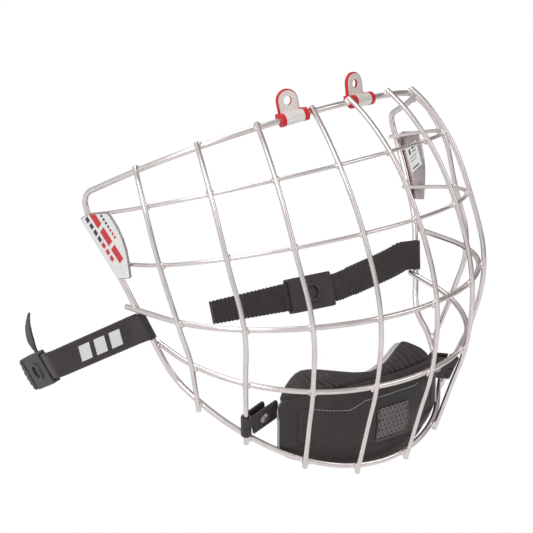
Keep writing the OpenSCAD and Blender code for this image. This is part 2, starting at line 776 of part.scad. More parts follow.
// Height above the chin floor to the true height
function cup_z(h) = cup_floor + h * tall;
module cup_outline(side) {
    front_cut([[-side, cup_z(14)], [-side + 7, cup_z(8.5)], [-side + 17, cup_z(3.2)],
        [-side + 32, cup_z(-2)], [-side + 46, cup_z(-5)], [side - 46, cup_z(-5)],
        [side - 32, cup_z(-2)], [side - 17, cup_z(3.2)], [side - 7, cup_z(8.5)],
        [side, cup_z(14)], [side, cup_z(48)], [-side, cup_z(48)]]);
}
module cup_shell() {
    color("#26272b")
    intersection() {
        cup_turned([
            [cup_r, cup_z(40.5)], [cup_r, cup_z(30)], [cup_r - 3.4, cup_z(17)], [cup_r - 9.5, cup_z(6.5)],
            [cup_r - 11.7, cup_z(1)], [cup_r - 13.5, cup_z(-3)], [cup_r - 18, cup_z(-4.6)],
            [cup_r - 32, cup_z(-4.6)],
            [cup_r - 32, cup_z(0) + shell_t], [cup_r - 19.5, cup_z(1) + shell_t],
            [cup_r - 9.5 - shell_t, cup_z(7.5)], [cup_r - 3.4 - shell_t, cup_z(17.6)],
            [cup_r - shell_t, cup_z(30.3)], [cup_r - shell_t, cup_z(40.5)]]);
        cup_outline(cup_side);
    }
}
// Outline of the collar and the parts inside: high wings and a dip in the middle
module wing_outline(side, grow) {
    front_cut([[-side, cup_z(13)], [-side + 9, cup_z(6)], [-side + 23, cup_z(2)],
        [side - 23, cup_z(2)], [side - 9, cup_z(6)], [side, cup_z(13)],
        [side, cup_z(38)], [side - 4, cup_z(46) + grow],
        [side - 13, cup_z(53) + grow], [side - 22, cup_z(51.6) + grow], [11, cup_z(46.2) + grow],
        [0, cup_z(44.4) + grow], [-11, cup_z(46.2) + grow], [-side + 22, cup_z(51.6) + grow],
        [-side + 13, cup_z(53) + grow], [-side + 4, cup_z(46) + grow], [-side, cup_z(38)]]);
}
pad_out = cup_r - shell_t - 0.3;
module cup_collar() {
    color("#303136")
    intersection() {
        cup_turned([
            [cup_r - 0.6, cup_z(40.8)], [cup_r - 0.6, cup_z(43)], [cup_r - 2.2, cup_z(47)],
            [cup_r - 5.2, cup_z(50.5)], [cup_r - 7.5, cup_z(54)], [cup_r - 10.4, cup_z(54)],
            [cup_r - 8.2, cup_z(48)], [cup_r - 6.4, cup_z(43)], [cup_r - 6.4, cup_z(40.8)]]);
        wing_outline(cup_side - 1, 0);
    }
}
// Foam pad: crowned in the middle of its height, drawn in at top and bottom, with two channels
module cup_pad() {
    color("#1f2024")
    difference() {
        intersection() {
            cup_turned([
                [pad_out, cup_z(40.4)], [pad_out, cup_z(30.3)], [pad_out - 3.4, cup_z(17.6)],
                [pad_out - 9.5, cup_z(7.8)], [pad_out - 18.5, cup_z(3.4)], [pad_out - 32, cup_z(2.6)],
                [pad_out - 33.5, cup_z(4)], [pad_out - 32.5, cup_z(6.6)], [pad_out - 22, cup_z(8.6)],
                [pad_out - 15.4, cup_z(12)], [pad_out - 11.4 - 0.6 * (pad_t - 7.5), cup_z(19)],
                [pad_out - pad_t - 0.6, cup_z(26)], [pad_out - pad_t, cup_z(33)],
                [pad_out - pad_t + 0.9, cup_z(38.4)], [pad_out - pad_t + 2.2, cup_z(40.4)]]);
            wing_outline(cup_side - 7, 0);
        }
        for (s = [-1, 1])
            translate([s * 17, cup_back - pad_out + pad_t + 0.4, cup_z(38)])
                rotate([-12, 0, 0])
                    cylinder(r = 1.6, h = 60, center = true, $fn = 32);
    }
}
// Light liner on the inner face of the collar and pad
module cup_liner() {
    color("#c9cacc")
    intersection() {
        cup_turned([
            [cup_r - 6.7, cup_z(40.8)], [cup_r - 6.7, cup_z(43)], [cup_r - 8.5, cup_z(48)],
            [cup_r - 10.8, cup_z(54)], [cup_r - 10.8 - liner_t, cup_z(54)],
            [cup_r - 9.1 - liner_t, cup_z(48)], [cup_r - 7.6 - liner_t, cup_z(43)],
            [cup_r - 7.6 - liner_t, cup_z(40.8)]]);
        wing_outline(cup_side - 3, 0);
    }
}
// Patch on the cup front, on the wearer's left of the middle
patch_t = 0.6;
module cup_patch() {
    color("#5b5c60")
    intersection() {
        cup_turned([
            [cup_r - 0.9, cup_z(26)], [cup_r - 3.2, cup_z(17)], [cup_r - 5.9, cup_z(12.2)],
            [cup_r - 8.2, cup_z(8.3)], [cup_r - 8.2 + patch_t, cup_z(7.9)],
            [cup_r - 5.9 + patch_t, cup_z(11.8)], [cup_r - 3.2 + patch_t, cup_z(16.7)],
            [cup_r - 0.9 + patch_t, cup_z(25.8)]]);
        translate([-2.4, 0, cup_z(8.2)]) rotate([90, 0, 0]) linear_extrude(120) square([23.4, 16.2]);
    }
}

// Tabs: each holds the cup to the straight leg of the second upright
tab_seat = let (p = upright_points(2)) p[6] - leg_way(2) * (tab_w / 2 + 3.4);
tab_edge = let (x = cup_side - 3, r = cup_r - shell_t - 8.6)
    [-x, cup_back - sqrt(r * r - x * x), tab_seat[2]];
tab_y = leg_way(2);
tab_x = square_to(tab_edge - tab_seat, tab_y);
tab_reach = (tab_edge - tab_seat) * tab_x;
knuckle_in = upright_r + turn_fit;
knuckle_out = knuckle_in + tab_t;
module in_tab_frame() {
    placed(tab_x, tab_y, cross(tab_x, tab_y), tab_seat)
        children();
}
// A tab layer: its ring turns on one part of the leg, its strip runs to the side of the cup
module tab_layer(from, high, back, reach) {
    side = back ? knuckle_in : -knuckle_out;
    difference() {
        union() {
            translate([0, from, 0])
                rotate([-90, 0, 0])
                    cylinder(r = knuckle_out, h = high, $fn = 48);
            translate([0, from, side])
                cube([reach, high, tab_t]);
            translate([knuckle_out + 0.4, -tab_w / 2, side])
                cube([reach - knuckle_out - 0.4, tab_w, tab_t]);
        }
        translate([0, -tab_w, 0])
            rotate([-90, 0, 0])
                cylinder(r = knuckle_in, h = 2 * tab_w, $fn = 48);
    }
}
cap_at = 10.6;
post_r = 1.1;
module tab_body() {
    in_tab_frame()
        difference() {
            tab_layer(-tab_w / 2, tab_w / 2 - 0.15, false, tab_reach);
            translate([cap_at, 0, -knuckle_out - 1])
                cylinder(r = post_r, h = tab_t + 2, $fn = 32);
        }
}
module tab_flap_body() {
    in_tab_frame()
        difference() {
            tab_layer(0.15, tab_w / 2 - 0.15, true, cap_at + 4.5);
            translate([cap_at, 0, knuckle_in - 1])
                cylinder(r = post_r + 0.3, h = tab_t + 2, $fn = 32);
        }
}
// Snap cap: a low dome on the tab and a post that reaches through the flap
module tab_cap_body() {
    in_tab_frame()
        translate([cap_at, 0, 0]) {
            translate([0, 0, -knuckle_out - 1.3])
                cylinder(r1 = cap_d / 2 - 1, r2 = cap_d / 2, h = 1.3, $fn = 48);
            translate([0, 0, -knuckle_out - 0.5])
                cylinder(r = post_r, h = 2 * knuckle_out + 0.5, $fn = 32);
        }
}
module tab_left() {
    color("#2d2e32") tab_body();
}
module tab_right() {
    color("#2d2e32") mirror([1, 0, 0]) tab_body();
}
module tab_flap_left() {
    color("#2d2e32") tab_flap_body();
}
module tab_flap_right() {
    color("#2d2e32") mirror([1, 0, 0]) tab_flap_body();
}
module tab_cap_left() {
    color("silver") tab_cap_body();
}
module tab_cap_right() {
    color("silver") mirror([1, 0, 0]) tab_cap_body();
}

edge_wire();
cross_wire_1();
cross_wire_2();
cross_wire_3();
cross_wire_4();
upright_left_1();
upright_left_2();
upright_left_3();
upright_left_4();
upright_right_1();
upright_right_2();
upright_right_3();
upright_right_4();
side_plate_left();
side_plate_right();
side_label_left();
side_label_right();
inner_label_right();
clip_steel_left();
clip_steel_right();
clip_bush_left();
clip_bush_right();
strap_left();
strap_right();
strap_tail_left();
strap_tail_right();
snap_plate_left();
snap_plate_right();
snap_ring_left();
snap_ring_right();
cup_shell();
cup_collar();
cup_pad();
cup_liner();
cup_patch();
tab_left();
tab_right();
tab_cap_left();
tab_cap_right();
tab_flap_left();
tab_flap_right();
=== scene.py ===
import json
from math import asin, cos, dist, exp, hypot, pi, radians, sin, sqrt
import bmesh
import bpy
from mathutils import Matrix, Vector
from mathutils.bvhtree import BVHTree


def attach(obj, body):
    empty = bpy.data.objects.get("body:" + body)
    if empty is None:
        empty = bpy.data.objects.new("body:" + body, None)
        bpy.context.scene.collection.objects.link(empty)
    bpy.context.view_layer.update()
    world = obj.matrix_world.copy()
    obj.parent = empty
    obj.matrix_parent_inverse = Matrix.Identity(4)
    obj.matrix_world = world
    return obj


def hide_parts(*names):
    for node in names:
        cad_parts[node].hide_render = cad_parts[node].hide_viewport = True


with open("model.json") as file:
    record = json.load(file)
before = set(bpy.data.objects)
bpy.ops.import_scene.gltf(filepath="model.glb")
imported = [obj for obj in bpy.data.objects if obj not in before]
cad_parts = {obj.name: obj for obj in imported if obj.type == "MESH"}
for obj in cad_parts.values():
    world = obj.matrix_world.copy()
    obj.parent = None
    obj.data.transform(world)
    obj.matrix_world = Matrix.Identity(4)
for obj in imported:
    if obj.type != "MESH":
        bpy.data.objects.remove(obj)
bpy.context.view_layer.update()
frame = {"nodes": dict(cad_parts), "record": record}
nodes = frame["nodes"]

# Lengths below are in millimetres and degrees, and MM turns them into metres where a mesh is made. The
# materials' own lengths are in metres.
MM = 0.001


def cos_deg(g):
    return cos(radians(g))


def sin_deg(g):
    return sin(radians(g))


def circle(n):
    return [2 * pi * k / n for k in range(n)]


def unit(v):
    return Vector(v).normalized()


def way_at(points, k):
    """Direction of a line of points at one of them."""
    return (points[min(k + 1, len(points) - 1)] - points[max(k - 1, 0)]).normalized()


def shift(x, y, z):
    return Matrix.Translation((x, y, z))


def rotation(degrees, axis):
    return Matrix.Rotation(radians(degrees), 4, axis)


def new_object(name, data):
    made = bpy.data.objects.new(name, data)
    bpy.context.collection.objects.link(made)
    return made


# Materials

PLAIN = (1.0, 1.0, 1.0)
WARM_STEEL = (1.0, 0.92, 0.91)
WARM_CLIP = (1.0, 0.95, 0.91)
CRIMSON = (1.0, 0.02, 0.04)
WARM_BLACK = (1.0, 0.82, 0.82)
WARM_SHELL = (1.0, 0.82, 0.76)
WARM_FOAM = (1.0, 0.8, 0.78)
WARM_VINYL = (1.0, 0.84, 0.8)
WARM_WEB = (1.0, 0.72, 0.7)
WARM_CELLS = (1.0, 0.9, 0.88)
WARM_PATCH = (1.0, 0.82, 0.78)
WARM_LINER = (1.0, 0.985, 0.98)
WARM_FILM = (1.0, 0.985, 0.975)


def feed(tree, socket, value):
    if isinstance(value, bpy.types.NodeSocket):
        tree.links.new(value, socket)
    else:
        socket.default_value = value


def add(tree, kind, inputs=None, **settings):
    """A new shader node, with its inputs linked or set by name."""
    made = tree.nodes.new("ShaderNode" + kind)
    for name, value in settings.items():
        setattr(made, name, value)
    for name, value in (inputs or {}).items():
        feed(tree, made.inputs[name], value)
    return made


def new_material(name, **plain):
    """A material and its Principled shader, with the inputs that are the same all over."""
    mat = bpy.data.materials.new(name)
    mat.use_nodes = True
    shader = mat.node_tree.nodes["Principled BSDF"]
    for key, value in plain.items():
        shader.inputs[key.replace("_", " ")].default_value = value
    return mat, mat.node_tree, shader


def grey(value, tint=PLAIN):
    return (value * tint[0], value * tint[1], value * tint[2], 1.0)


def ramp(tree, factor, stops):
    """Colours at their places along a factor."""
    made = add(tree, "ValToRGB", {"Fac": factor})
    scale = made.color_ramp
    while len(scale.elements) < len(stops):
        scale.elements.new(0.5)
    for element, (place, colour) in zip(scale.elements, stops):
        element.position = place
        element.color = colour
    return made.outputs["Color"]


def spread(tree, factor, low, high, source=(0.3, 0.7)):
    """A factor between the source's ends, carried over to low and high."""
    made = add(tree, "MapRange", {"Value": factor, "From Min": source[0], "From Max": source[1],
                                  "To Min": low, "To Max": high})
    return made.outputs["Result"]


def noise(tree, where, scale, detail=3.0):
    return add(tree, "TexNoise", {"Vector": where, "Scale": scale, "Detail": detail}).outputs["Fac"]


def blended(tree, factor, a, b):
    return add(tree, "MixRGB", {"Fac": factor, "Color1": a, "Color2": b}).outputs["Color"]


def maths(tree, kind, a, b=0.0):
    made = add(tree, "Math", operation=kind)
    for socket, value in zip(made.inputs, (a, b)):
        feed(tree, socket, value)
    return made.outputs["Value"]


def times(tree, a, b):
    return maths(tree, "MULTIPLY", a, b)


def bump(tree, height, distance, strength):
    made = add(tree, "Bump", {"Height": height, "Distance": distance, "Strength": strength})
    return made.outputs["Normal"]


def surface(tree, shader, colour, rough, normal):
    for value, name in ((colour, "Base Color"), (rough, "Roughness"), (normal, "Normal")):
        tree.links.new(value, shader.inputs[name])


def wire_steel(name, dark, bright, rough, metal=1.0, tint=WARM_STEEL):
    """Brushed wire or sheet steel with soft clouds and a very fine grain."""
    mat, tree, shader = new_material(name, Metallic=metal)
    where = add(tree, "TexCoord").outputs["Object"]
    broad = noise(tree, where, 160)
    fine = noise(tree, where, 1400)
    surface(tree, shader, ramp(tree, broad, [(0.3, grey(dark, tint)), (0.7, grey(bright, tint))]),
            spread(tree, fine, rough - 0.03, rough + 0.05), bump(tree, fine, 0.000006, 0.25))
    return mat


def moulded(name, low, high, rough, grain_scale=1500, grain=0.00005, tint=PLAIN):
    """Moulded plastic or rubber with a fine grain and slightly paler edges."""
    mat, tree, shader = new_material(name)
    where = add(tree, "TexCoord").outputs["Object"]
    broad = noise(tree, where, 90)
    fine = noise(tree, where, grain_scale, 4)
    worn = add(tree, "NewGeometry").outputs["Pointiness"]
    base = ramp(tree, broad, [(0.3, grey(low, tint)), (0.7, grey(high, tint))])
    edge = spread(tree, worn, 0.0, 0.5, (0.507, 0.57))
    surface(tree, shader, blended(tree, edge, base, grey(high * 2.2, tint)),
            spread(tree, fine, rough - 0.07, rough + 0.1), bump(tree, fine, grain, 0.6))
    return mat


def webbing(name, low, high, rib=0.00095):
    """Woven band: ribs across it with the yarns passing over and under. UV is in metres. The colour
    follows a random tone and the weave's height, which paints shade into its hollows.
    """
    mat, tree, shader = new_material(name, Sheen_Weight=0.25, Sheen_Roughness=0.5)
    uv = add(tree, "TexCoord").outputs["UV"]
    parts = add(tree, "SeparateXYZ", {"Vector": uv})
    along = maths(tree, "SINE", times(tree, parts.outputs["X"], 2 * pi / rib))
    across = maths(tree, "SINE", times(tree, parts.outputs["Y"], 2 * pi / (rib * 1.3)))
    woven = times(tree, along, across)
    height = maths(tree, "ADD", times(tree, woven, 0.6), times(tree, along, 0.4))
    fuzz = noise(tree, uv, 2600, 4)
    broad = noise(tree, uv, 120)
    # Painted shade: the weave's height darkens the colour in its hollows and lightens its crests, over a
    # random broad tone.
    tone_and_painted_shade = maths(tree, "ADD", times(tree, height, 0.22), broad)
    total = maths(tree, "ADD", height, times(tree, fuzz, 0.8))
    surface(tree, shader, ramp(tree, tone_and_painted_shade, [(0.25, grey(low, WARM_WEB)), (0.8, grey(high, WARM_WEB))]),
            spread(tree, fuzz, 0.62, 0.85), bump(tree, total, 0.00016, 0.8))
    return mat


def cloth(name, low, high, thread=0.0007, tint=PLAIN, depth=0.00012):
    """Fine knitted or woven cover, by the place in the object. The colour follows a random tone and
    the knit's height, which paints shade into its hollows.
    """
    mat, tree, shader = new_material(name, Sheen_Weight=0.3, Sheen_Roughness=0.45)
    where = add(tree, "TexCoord").outputs["Object"]
    parts = add(tree, "SeparateXYZ", {"Vector": where})
    turns = 2 * pi / thread
    wave_x = maths(tree, "SINE", times(tree, parts.outputs["X"], turns))
    wave_z = maths(tree, "SINE", times(tree, parts.outputs["Z"], turns))
    knit = times(tree, wave_x, wave_z)
    fuzz = noise(tree, where, 3000, 4)
    broad = noise(tree, where, 110)
    # Painted shade: the knit's height darkens the colour in its hollows, over a random broad tone.
    tone_and_painted_shade = maths(tree, "ADD", times(tree, knit, 0.12), broad)
    surface(tree, shader, ramp(tree, tone_and_painted_shade, [(0.3, grey(low, tint)), (0.75, grey(high, tint))]),
            spread(tree, fuzz, 0.7, 0.92), bump(tree, maths(tree, "ADD", knit, fuzz), depth, 0.7))
    return mat


def label_print(name, bands):
    """White film with plain printed bands of (from, to, low, high, slant, ink). UV runs 0 to 1."""
    mat, tree, shader = new_material(name, Coat_Weight=0.35)
    uv = add(tree, "TexCoord").outputs["UV"]
    parts = add(tree, "SeparateXYZ", {"Vector": uv})
    where = add(tree, "TexCoord").outputs["Object"]
    stain = noise(tree, where, 260)
    colour = ramp(tree, stain, [(0.3, grey(0.78, WARM_FILM)), (0.7, grey(0.86))])
    along, across = parts.outputs["X"], parts.outputs["Y"]
    for start, end, low, high, slant, ink in bands:
        sloped = maths(tree, "ADD", along, times(tree, across, slant))
        inside = maths(tree, "GREATER_THAN", sloped, start)
        for kind, value, limit in (("LESS_THAN", sloped, end), ("GREATER_THAN", across, low),
                                   ("LESS_THAN", across, high)):
            inside = times(tree, inside, maths(tree, kind, value, limit))
        colour = blended(tree, inside, colour, ink)
    tree.links.new(colour, shader.inputs["Base Color"])
    tree.links.new(spread(tree, noise(tree, where, 900), 0.25, 0.4), shader.inputs["Roughness"])
    return mat


steel = wire_steel("satin_steel", 0.8, 0.9, 0.22)
plate_steel = wire_steel("plate_steel", 0.42, 0.55, 0.36)
clip_steel = wire_steel("clip_steel", 0.9, 0.97, 0.16, 0.35, WARM_CLIP)
cap_steel = wire_steel("cap_steel", 0.3, 0.45, 0.28)
bush_red = moulded("bush_red", 0.36, 0.43, 0.38, tint=CRIMSON)
black_plastic = moulded("black_plastic", 0.022, 0.032, 0.42, tint=WARM_BLACK)
ring_plastic = moulded("ring_plastic", 0.02, 0.028, 0.3)
shell_plastic = moulded("shell_plastic", 0.028, 0.038, 0.5, tint=WARM_SHELL)
collar_foam = moulded("collar_foam", 0.032, 0.048, 0.55, 2200, 0.00008, WARM_FOAM)
pad_cloth = cloth("pad_cloth", 0.02, 0.034)
liner_cloth = cloth("liner_cloth", 0.5, 0.62, 0.0009, WARM_LINER)
vinyl = moulded("vinyl", 0.024, 0.034, 0.45, 1800, 0.00006, WARM_VINYL)
strap_web = webbing("strap_web", 0.022, 0.048)
tail_web = webbing("tail_web", 0.022, 0.044, 0.0007)
thread_black = cloth("thread_black", 0.05, 0.07, 0.0004)
thread_grey = cloth("thread_grey", 0.3, 0.42, 0.0004)
print_grey = moulded("print_grey", 0.34, 0.46, 0.5)
hex_grey = moulded("hex_grey", 0.12, 0.17, 0.45, tint=WARM_CELLS)
patch_base = moulded("patch_base", 0.045, 0.06, 0.5, tint=WARM_PATCH)
edge_foam = cloth("edge_foam", 0.38, 0.5, 0.0009)

# Printed copies replace the labels' nodes further down, so the table leaves their slot out.
slot_material = {
    "wire": steel, "plate": plate_steel, "clip_steel": clip_steel, "clip_bush": bush_red,
    "webbing": strap_web, "snap_plate": black_plastic, "snap_ring": ring_plastic, "shell": shell_plastic,
    "foam": collar_foam, "liner": liner_cloth, "patch": hex_grey, "tab": vinyl, "cap": cap_steel}
for sub in frame["record"]["subparts"]:
    if sub["material_slot"] in slot_material:
        for place in nodes[sub["node"]].material_slots:
            place.material = slot_material[sub["material_slot"]]


# Mesh helpers

SHARP = 50


def make_mesh(name, verts, faces, body, material, replaces=(), uvs=None):
    """A smooth piece from points in metres, with its body and the nodes that it stands for."""
    data = bpy.data.meshes.new(name)
    data.from_pydata([tuple(v) for v in verts], [], faces)
    if uvs is not None:
        layer = data.uv_layers.new(name="UVMap")
        for loop in data.loops:
            layer.data[loop.index].uv = uvs[loop.vertex_index]
    data.materials.append(material)
    data.validate()
    made = bmesh.new()
    made.from_mesh(data)
    bmesh.ops.recalc_face_normals(made, faces=made.faces)
    made.to_mesh(data)
    made.free()
    data.shade_smooth()
    data.set_sharp_from_angle(angle=radians(SHARP))
    piece = new_object(name, data)
    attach(piece, body)
    if replaces:
        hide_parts(*replaces)
    return piece


def axes_frame(x, y, z, origin):
    """The matrix of a frame with these three directions and this origin."""
    rows = [[x[i], y[i], z[i], origin[i]] for i in range(3)] + [[0, 0, 0, 1]]
    return Matrix(rows)


MIRROR = Matrix.Diagonal((-1, 1, 1, 1))


def skin(rings):
    """A closed tube through rings of the same number of points: its points and its faces."""
    n = len(rings[0])
    faces = []
    for i in range(len(rings) - 1):
        for k in range(n):
            a, b = i * n + k, i * n + (k + 1) % n
            faces.append((a, b, b + n, a + n))
    faces.append(tuple(range(n)))
    faces.append(tuple((len(rings) - 1) * n + k for k in range(n)))
    return [p for ring in rings for p in ring], faces


def band_ring(centre, across, normal, half, thick, edge):
    """Cross-section of a woven band with round edges, and how far across it each point lies."""
    points, ways = [], []
    for side in (1, -1):
        for k in range(9):
            way = side * (-1 + 2 * k / 8) * (half - edge)
            points.append(centre + across * way + normal * (side * thick / 2))
            ways.append(way)
        for g in (30, 60, 90, 120, 150):
            way = side * (half - edge + edge * sin_deg(g))
            points.append(centre + across * way + normal * (side * thick / 2 * cos_deg(g)))
            ways.append(way)
    return points, ways


EDGE_ROUND = 0.45


def band(name, stations, thick, body, material, replaces=(), place=None, tooth=None):
    """A band through stations of (centre, across, normal, half width). Its thickness and the tooth of its
    edges may change with the run along it."""
    rings, uvs = [], []
    run = 0.0
    before = None
    for centre, across, normal, half in stations:
        centre, across, normal = Vector(centre), unit(across), unit(normal)
        if before is not None:
            run += (centre - before).length
        before = centre
        depth = thick(run) if callable(thick) else thick
        width = half + (tooth(run) if tooth else 0.0)
        ring, ways = band_ring(centre, across, normal, width, depth, min(EDGE_ROUND, depth / 2))
        rings.append(ring)
        uvs += [(run * MM, w * MM) for w in ways]
    verts, faces = skin(rings)
    place = place or Matrix.Identity(4)
    verts = [(place @ v) * MM for v in verts]
    return make_mesh(name, verts, faces, body, material, replaces, uvs)


# Each ring of a thread: its share of the length, its share of the radius and its rise in radii
THREAD_RINGS = [(-0.5, 0.3, -0.3), (-0.34, 0.85, 0.0), (0.0, 1.0, 0.12), (0.34, 0.85, 0.0),
                (0.5, 0.3, -0.3)]


def stitch_mesh(name, marks, body, material, length=2.0, radius=0.22, place=None):
    """Threads that stand a little proud, at marks of (middle, way, normal)."""
    verts, faces = [], []
    place = place or Matrix.Identity(4)
    for middle, way, normal in marks:
        middle, way, normal = Vector(middle), unit(way), unit(normal)
        side = way.cross(normal).normalized()
        start = len(verts)
        rings = []
        for share, thin, rise in THREAD_RINGS:
            centre = middle + way * (share * length) + normal * (rise * radius)
            rings.append([centre + (side * cos(g) + normal * sin(g)) * (radius * thin)
                          for g in circle(6)])
        thread_verts, thread_faces = skin(rings)
        verts += [(place @ p) * MM for p in thread_verts]
        faces += [tuple(start + k for k in face) for face in thread_faces]
    return make_mesh(name, verts, faces, body, material)


def arc_points(centre, radius, start, end, steps):
    """Points along an arc, each with its angle in degrees."""
    turns = [start + (end - start) * k / steps for k in range(steps + 1)]
    return [(centre[0] + radius * cos_deg(g), centre[1] + radius * sin_deg(g), g) for g in turns]


# Side straps. In a strap's own frame the seat's wire is at the origin, x runs along the webbing, y across
# it and z through it.

SEAT = Vector((0.277786, -0.0746291, -0.95774))
STRAP_MID = Vector((-90.25, -15.0, -72.75))
strap_left = axes_frame((-0.423174, 0.885527, -0.191741), SEAT, (-0.862414, -0.458554, -0.214406),
                        STRAP_MID)
strap_right_plain = axes_frame((0.960643, 0.0215802, 0.276946), SEAT, (0, 0.996978, -0.0776866),
                               STRAP_MID)
strap_right = MIRROR @ strap_right_plain

# The webbing's thickness, how far each of its two layers is from their middle, and its loop on the wire
WEB = 0.92
LAYER = 0.49
LOOP_R = 2.08
LOOP_START, LOOP_END = 79.8, 280.2
WEB_WIDE, WEB_NARROW = 7.75, 7.35
web_step = 0.28

# The left strap leaves the wire, drops a little to BEND_X, bends in, twists and runs on to its end block.
WEB_START, BEND_X, BEND_R, BEND, TWIST, DROP = 9.0, 59, 7, 40, 9, 2
END_LEN = 36.0
left_end = (strap_left @ shift(BEND_X, DROP, -BEND_R) @ rotation(BEND, "Y")
            @ shift(0, 0, BEND_R) @ rotation(TWIST, "Z"))


def rib_edge(run):
    """The toothed selvedge of the webbing."""
    return 0.26 * sin(run * 2 * pi / 1.7) - 0.12


def left_slope(x):
    return (x - 8) / 49


def left_middle(step):
    """Middle of the left strap's webbing to the end of its bend: centre, across, normal, half width."""
    stations = []
    x = WEB_START
    while x < BEND_X - 0.1:
        k = left_slope(x)
        stations.append(((x, DROP * min(k, 1), 0), (0, 1, 0), (0, 0, 1), WEB_WIDE - 0.3 * k))
        x += step
    for i in range(15):
        g, q = radians(BEND * i / 14), radians(TWIST * i / 14)
        tangent = Vector((cos(g), 0, -sin(g)))
        across = Vector((0, 1, 0)) * cos(q) - tangent * sin(q)
        centre = (BEND_X + BEND_R * sin(g), DROP, -BEND_R + BEND_R * cos(g))
        stations.append((centre, across, (sin(g), 0, cos(g)), WEB_NARROW + 0.07))
    return stations


def end_stations(matrix, length, step):
    """The straight end of the webbing, along the x of a frame."""
    stations = []
    count = int(length / step)
    for i in range(1, count + 1):
        m = matrix @ shift(length * i / count, 0, 0)
        stations.append((m.translation, m.col[1].to_3d(), m.col[2].to_3d(), WEB_NARROW))
    return stations


def shifted(stations, d):
    return [(Vector(c) + unit(n) * d, a, n, h) for c, a, n, h in stations]


def folded(middle, drop, half):
    """The band runs up one layer, round the wire and back along the other."""
    loop = []
    for x, z, g in arc_points((0, 0), LOOP_R, LOOP_START, LOOP_END, 36):
        loop.append(((x, drop, z), (0, -1, 0), (cos_deg(g), 0, sin_deg(g)), half))
    first = shifted(middle, LAYER)
    upper = [(c, -Vector(a), n, h) for c, a, n, h in reversed(first)]
    lower = [(c - unit(n) * (2 * LAYER), -Vector(a), -Vector(n), h) for c, a, n, h in first]
    return upper + loop + lower


left_path = left_middle(web_step)
left_path += end_stations(strap_left.inverted() @ left_end, END_LEN - 0.3, web_step)
band("side_strap_web_left", folded(left_path, 0, WEB_WIDE), WEB, "strap_left", strap_web,
     ["strap_left"], strap_left, rib_edge)


def spline(points, step):
    """Smooth way through points in the strap's own plane."""
    made = []
    for i in range(len(points) - 1):
        p0, p1, p2, p3 = (Vector(points[max(0, min(len(points) - 1, i + k))]) for k in (-1, 0, 1, 2))
        count = max(2, int((p2 - p1).length / step))
        for k in range(count):
            t = k / count
            made.append(0.5 * ((2 * p1) + (p2 - p0) * t + (2 * p0 - 5 * p1 + 4 * p2 - p3) * t * t
                               + (3 * p1 - p0 - 3 * p2 + p3) * t ** 3))
    made.append(Vector(points[-1]))
    return made


# The right strap curves up in its own plane and ends at RIGHT_END, RIGHT_TURN degrees off the seat's x.
RIGHT_END = Vector((87.08, 30.50))
RIGHT_TURN = 13
RIGHT_HALF = 7.7
way_right = Vector((cos_deg(RIGHT_TURN), sin_deg(RIGHT_TURN)))
right_middle = spline([(9, 3.2), (14, 6.0), (22, 9.8), (34, 14.9), (46, 20), (53, 22.65), (62, 24.75),
                       tuple(RIGHT_END - way_right * 12), tuple(RIGHT_END - way_right * 0.3)], web_step)
right_path = []
for i, p in enumerate(right_middle):
    way = way_at(right_middle, i)
    lean = min(1.0, i * web_step / 6 + 0.35)
    across = unit((-way[1] * lean, 1 - lean + way[0] * lean, 0))
    half = RIGHT_HALF if i / len(right_middle) < 0.45 else WEB_NARROW
    right_path.append(((p[0], p[1], 0), across, (0, 0, 1), half))
band("side_strap_web_right", folded(right_path, 1.9, RIGHT_HALF), WEB, "strap_right",
     strap_web, ["strap_right"], strap_right, rib_edge)

STITCH_PITCH = 2.4
STITCH_ROWS = [-6.2, 6.2]


def with_run(path):
    """The path's stations with the distance of each from the first."""
    out, run = [], 0.0
    for i, (c, a, n, h) in enumerate(path):
        if i:
            run += (Vector(c) - Vector(path[i - 1][0])).length
        out.append((c, a, n, run))
    return out


def box_stitch(path, first, last):
    """Two rows of thread along the band and one across it at each end, on both faces."""
    marks = []
    span = [station for station in with_run(path) if first <= station[3] <= last]
    every = max(1, int(STITCH_PITCH / (span[1][3] - span[0][3])))
    for face in (1, -1):
        rise = face * (LAYER + WEB / 2 + 0.05)
        for row in STITCH_ROWS:
            for c, a, n, _ in span[::every]:
                a, n = unit(a), unit(n)
                marks.append((Vector(c) + a * row + n * rise, a.cross(n), n * face))
        for c, a, n, _ in (span[0], span[-1]):
            a, n = unit(a), unit(n)
            across = STITCH_ROWS[0]
            while across <= STITCH_ROWS[-1] + 0.01:
                marks.append((Vector(c) + a * across + n * rise, a, n * face))
                across += STITCH_PITCH
    return marks


stitch_mesh("strap_stitch_left", box_stitch(left_path, 1.2, 5.6), "strap_left",
            thread_black, 1.8, 0.2, strap_left)
stitch_mesh("strap_stitch_right", box_stitch(right_path, 2.5, 14), "strap_right",
            thread_black, 1.8, 0.2, strap_right)

# The print on the left strap: plain slanted bars, from and to along the webbing
PRINT_BARS = [(15.5, 22.5), (25.5, 32.5), (35.5, 42.5)]
PRINT_HALF = 4.2
PRINT_SLANT = 0.25
PRINT_RISE = 0.13


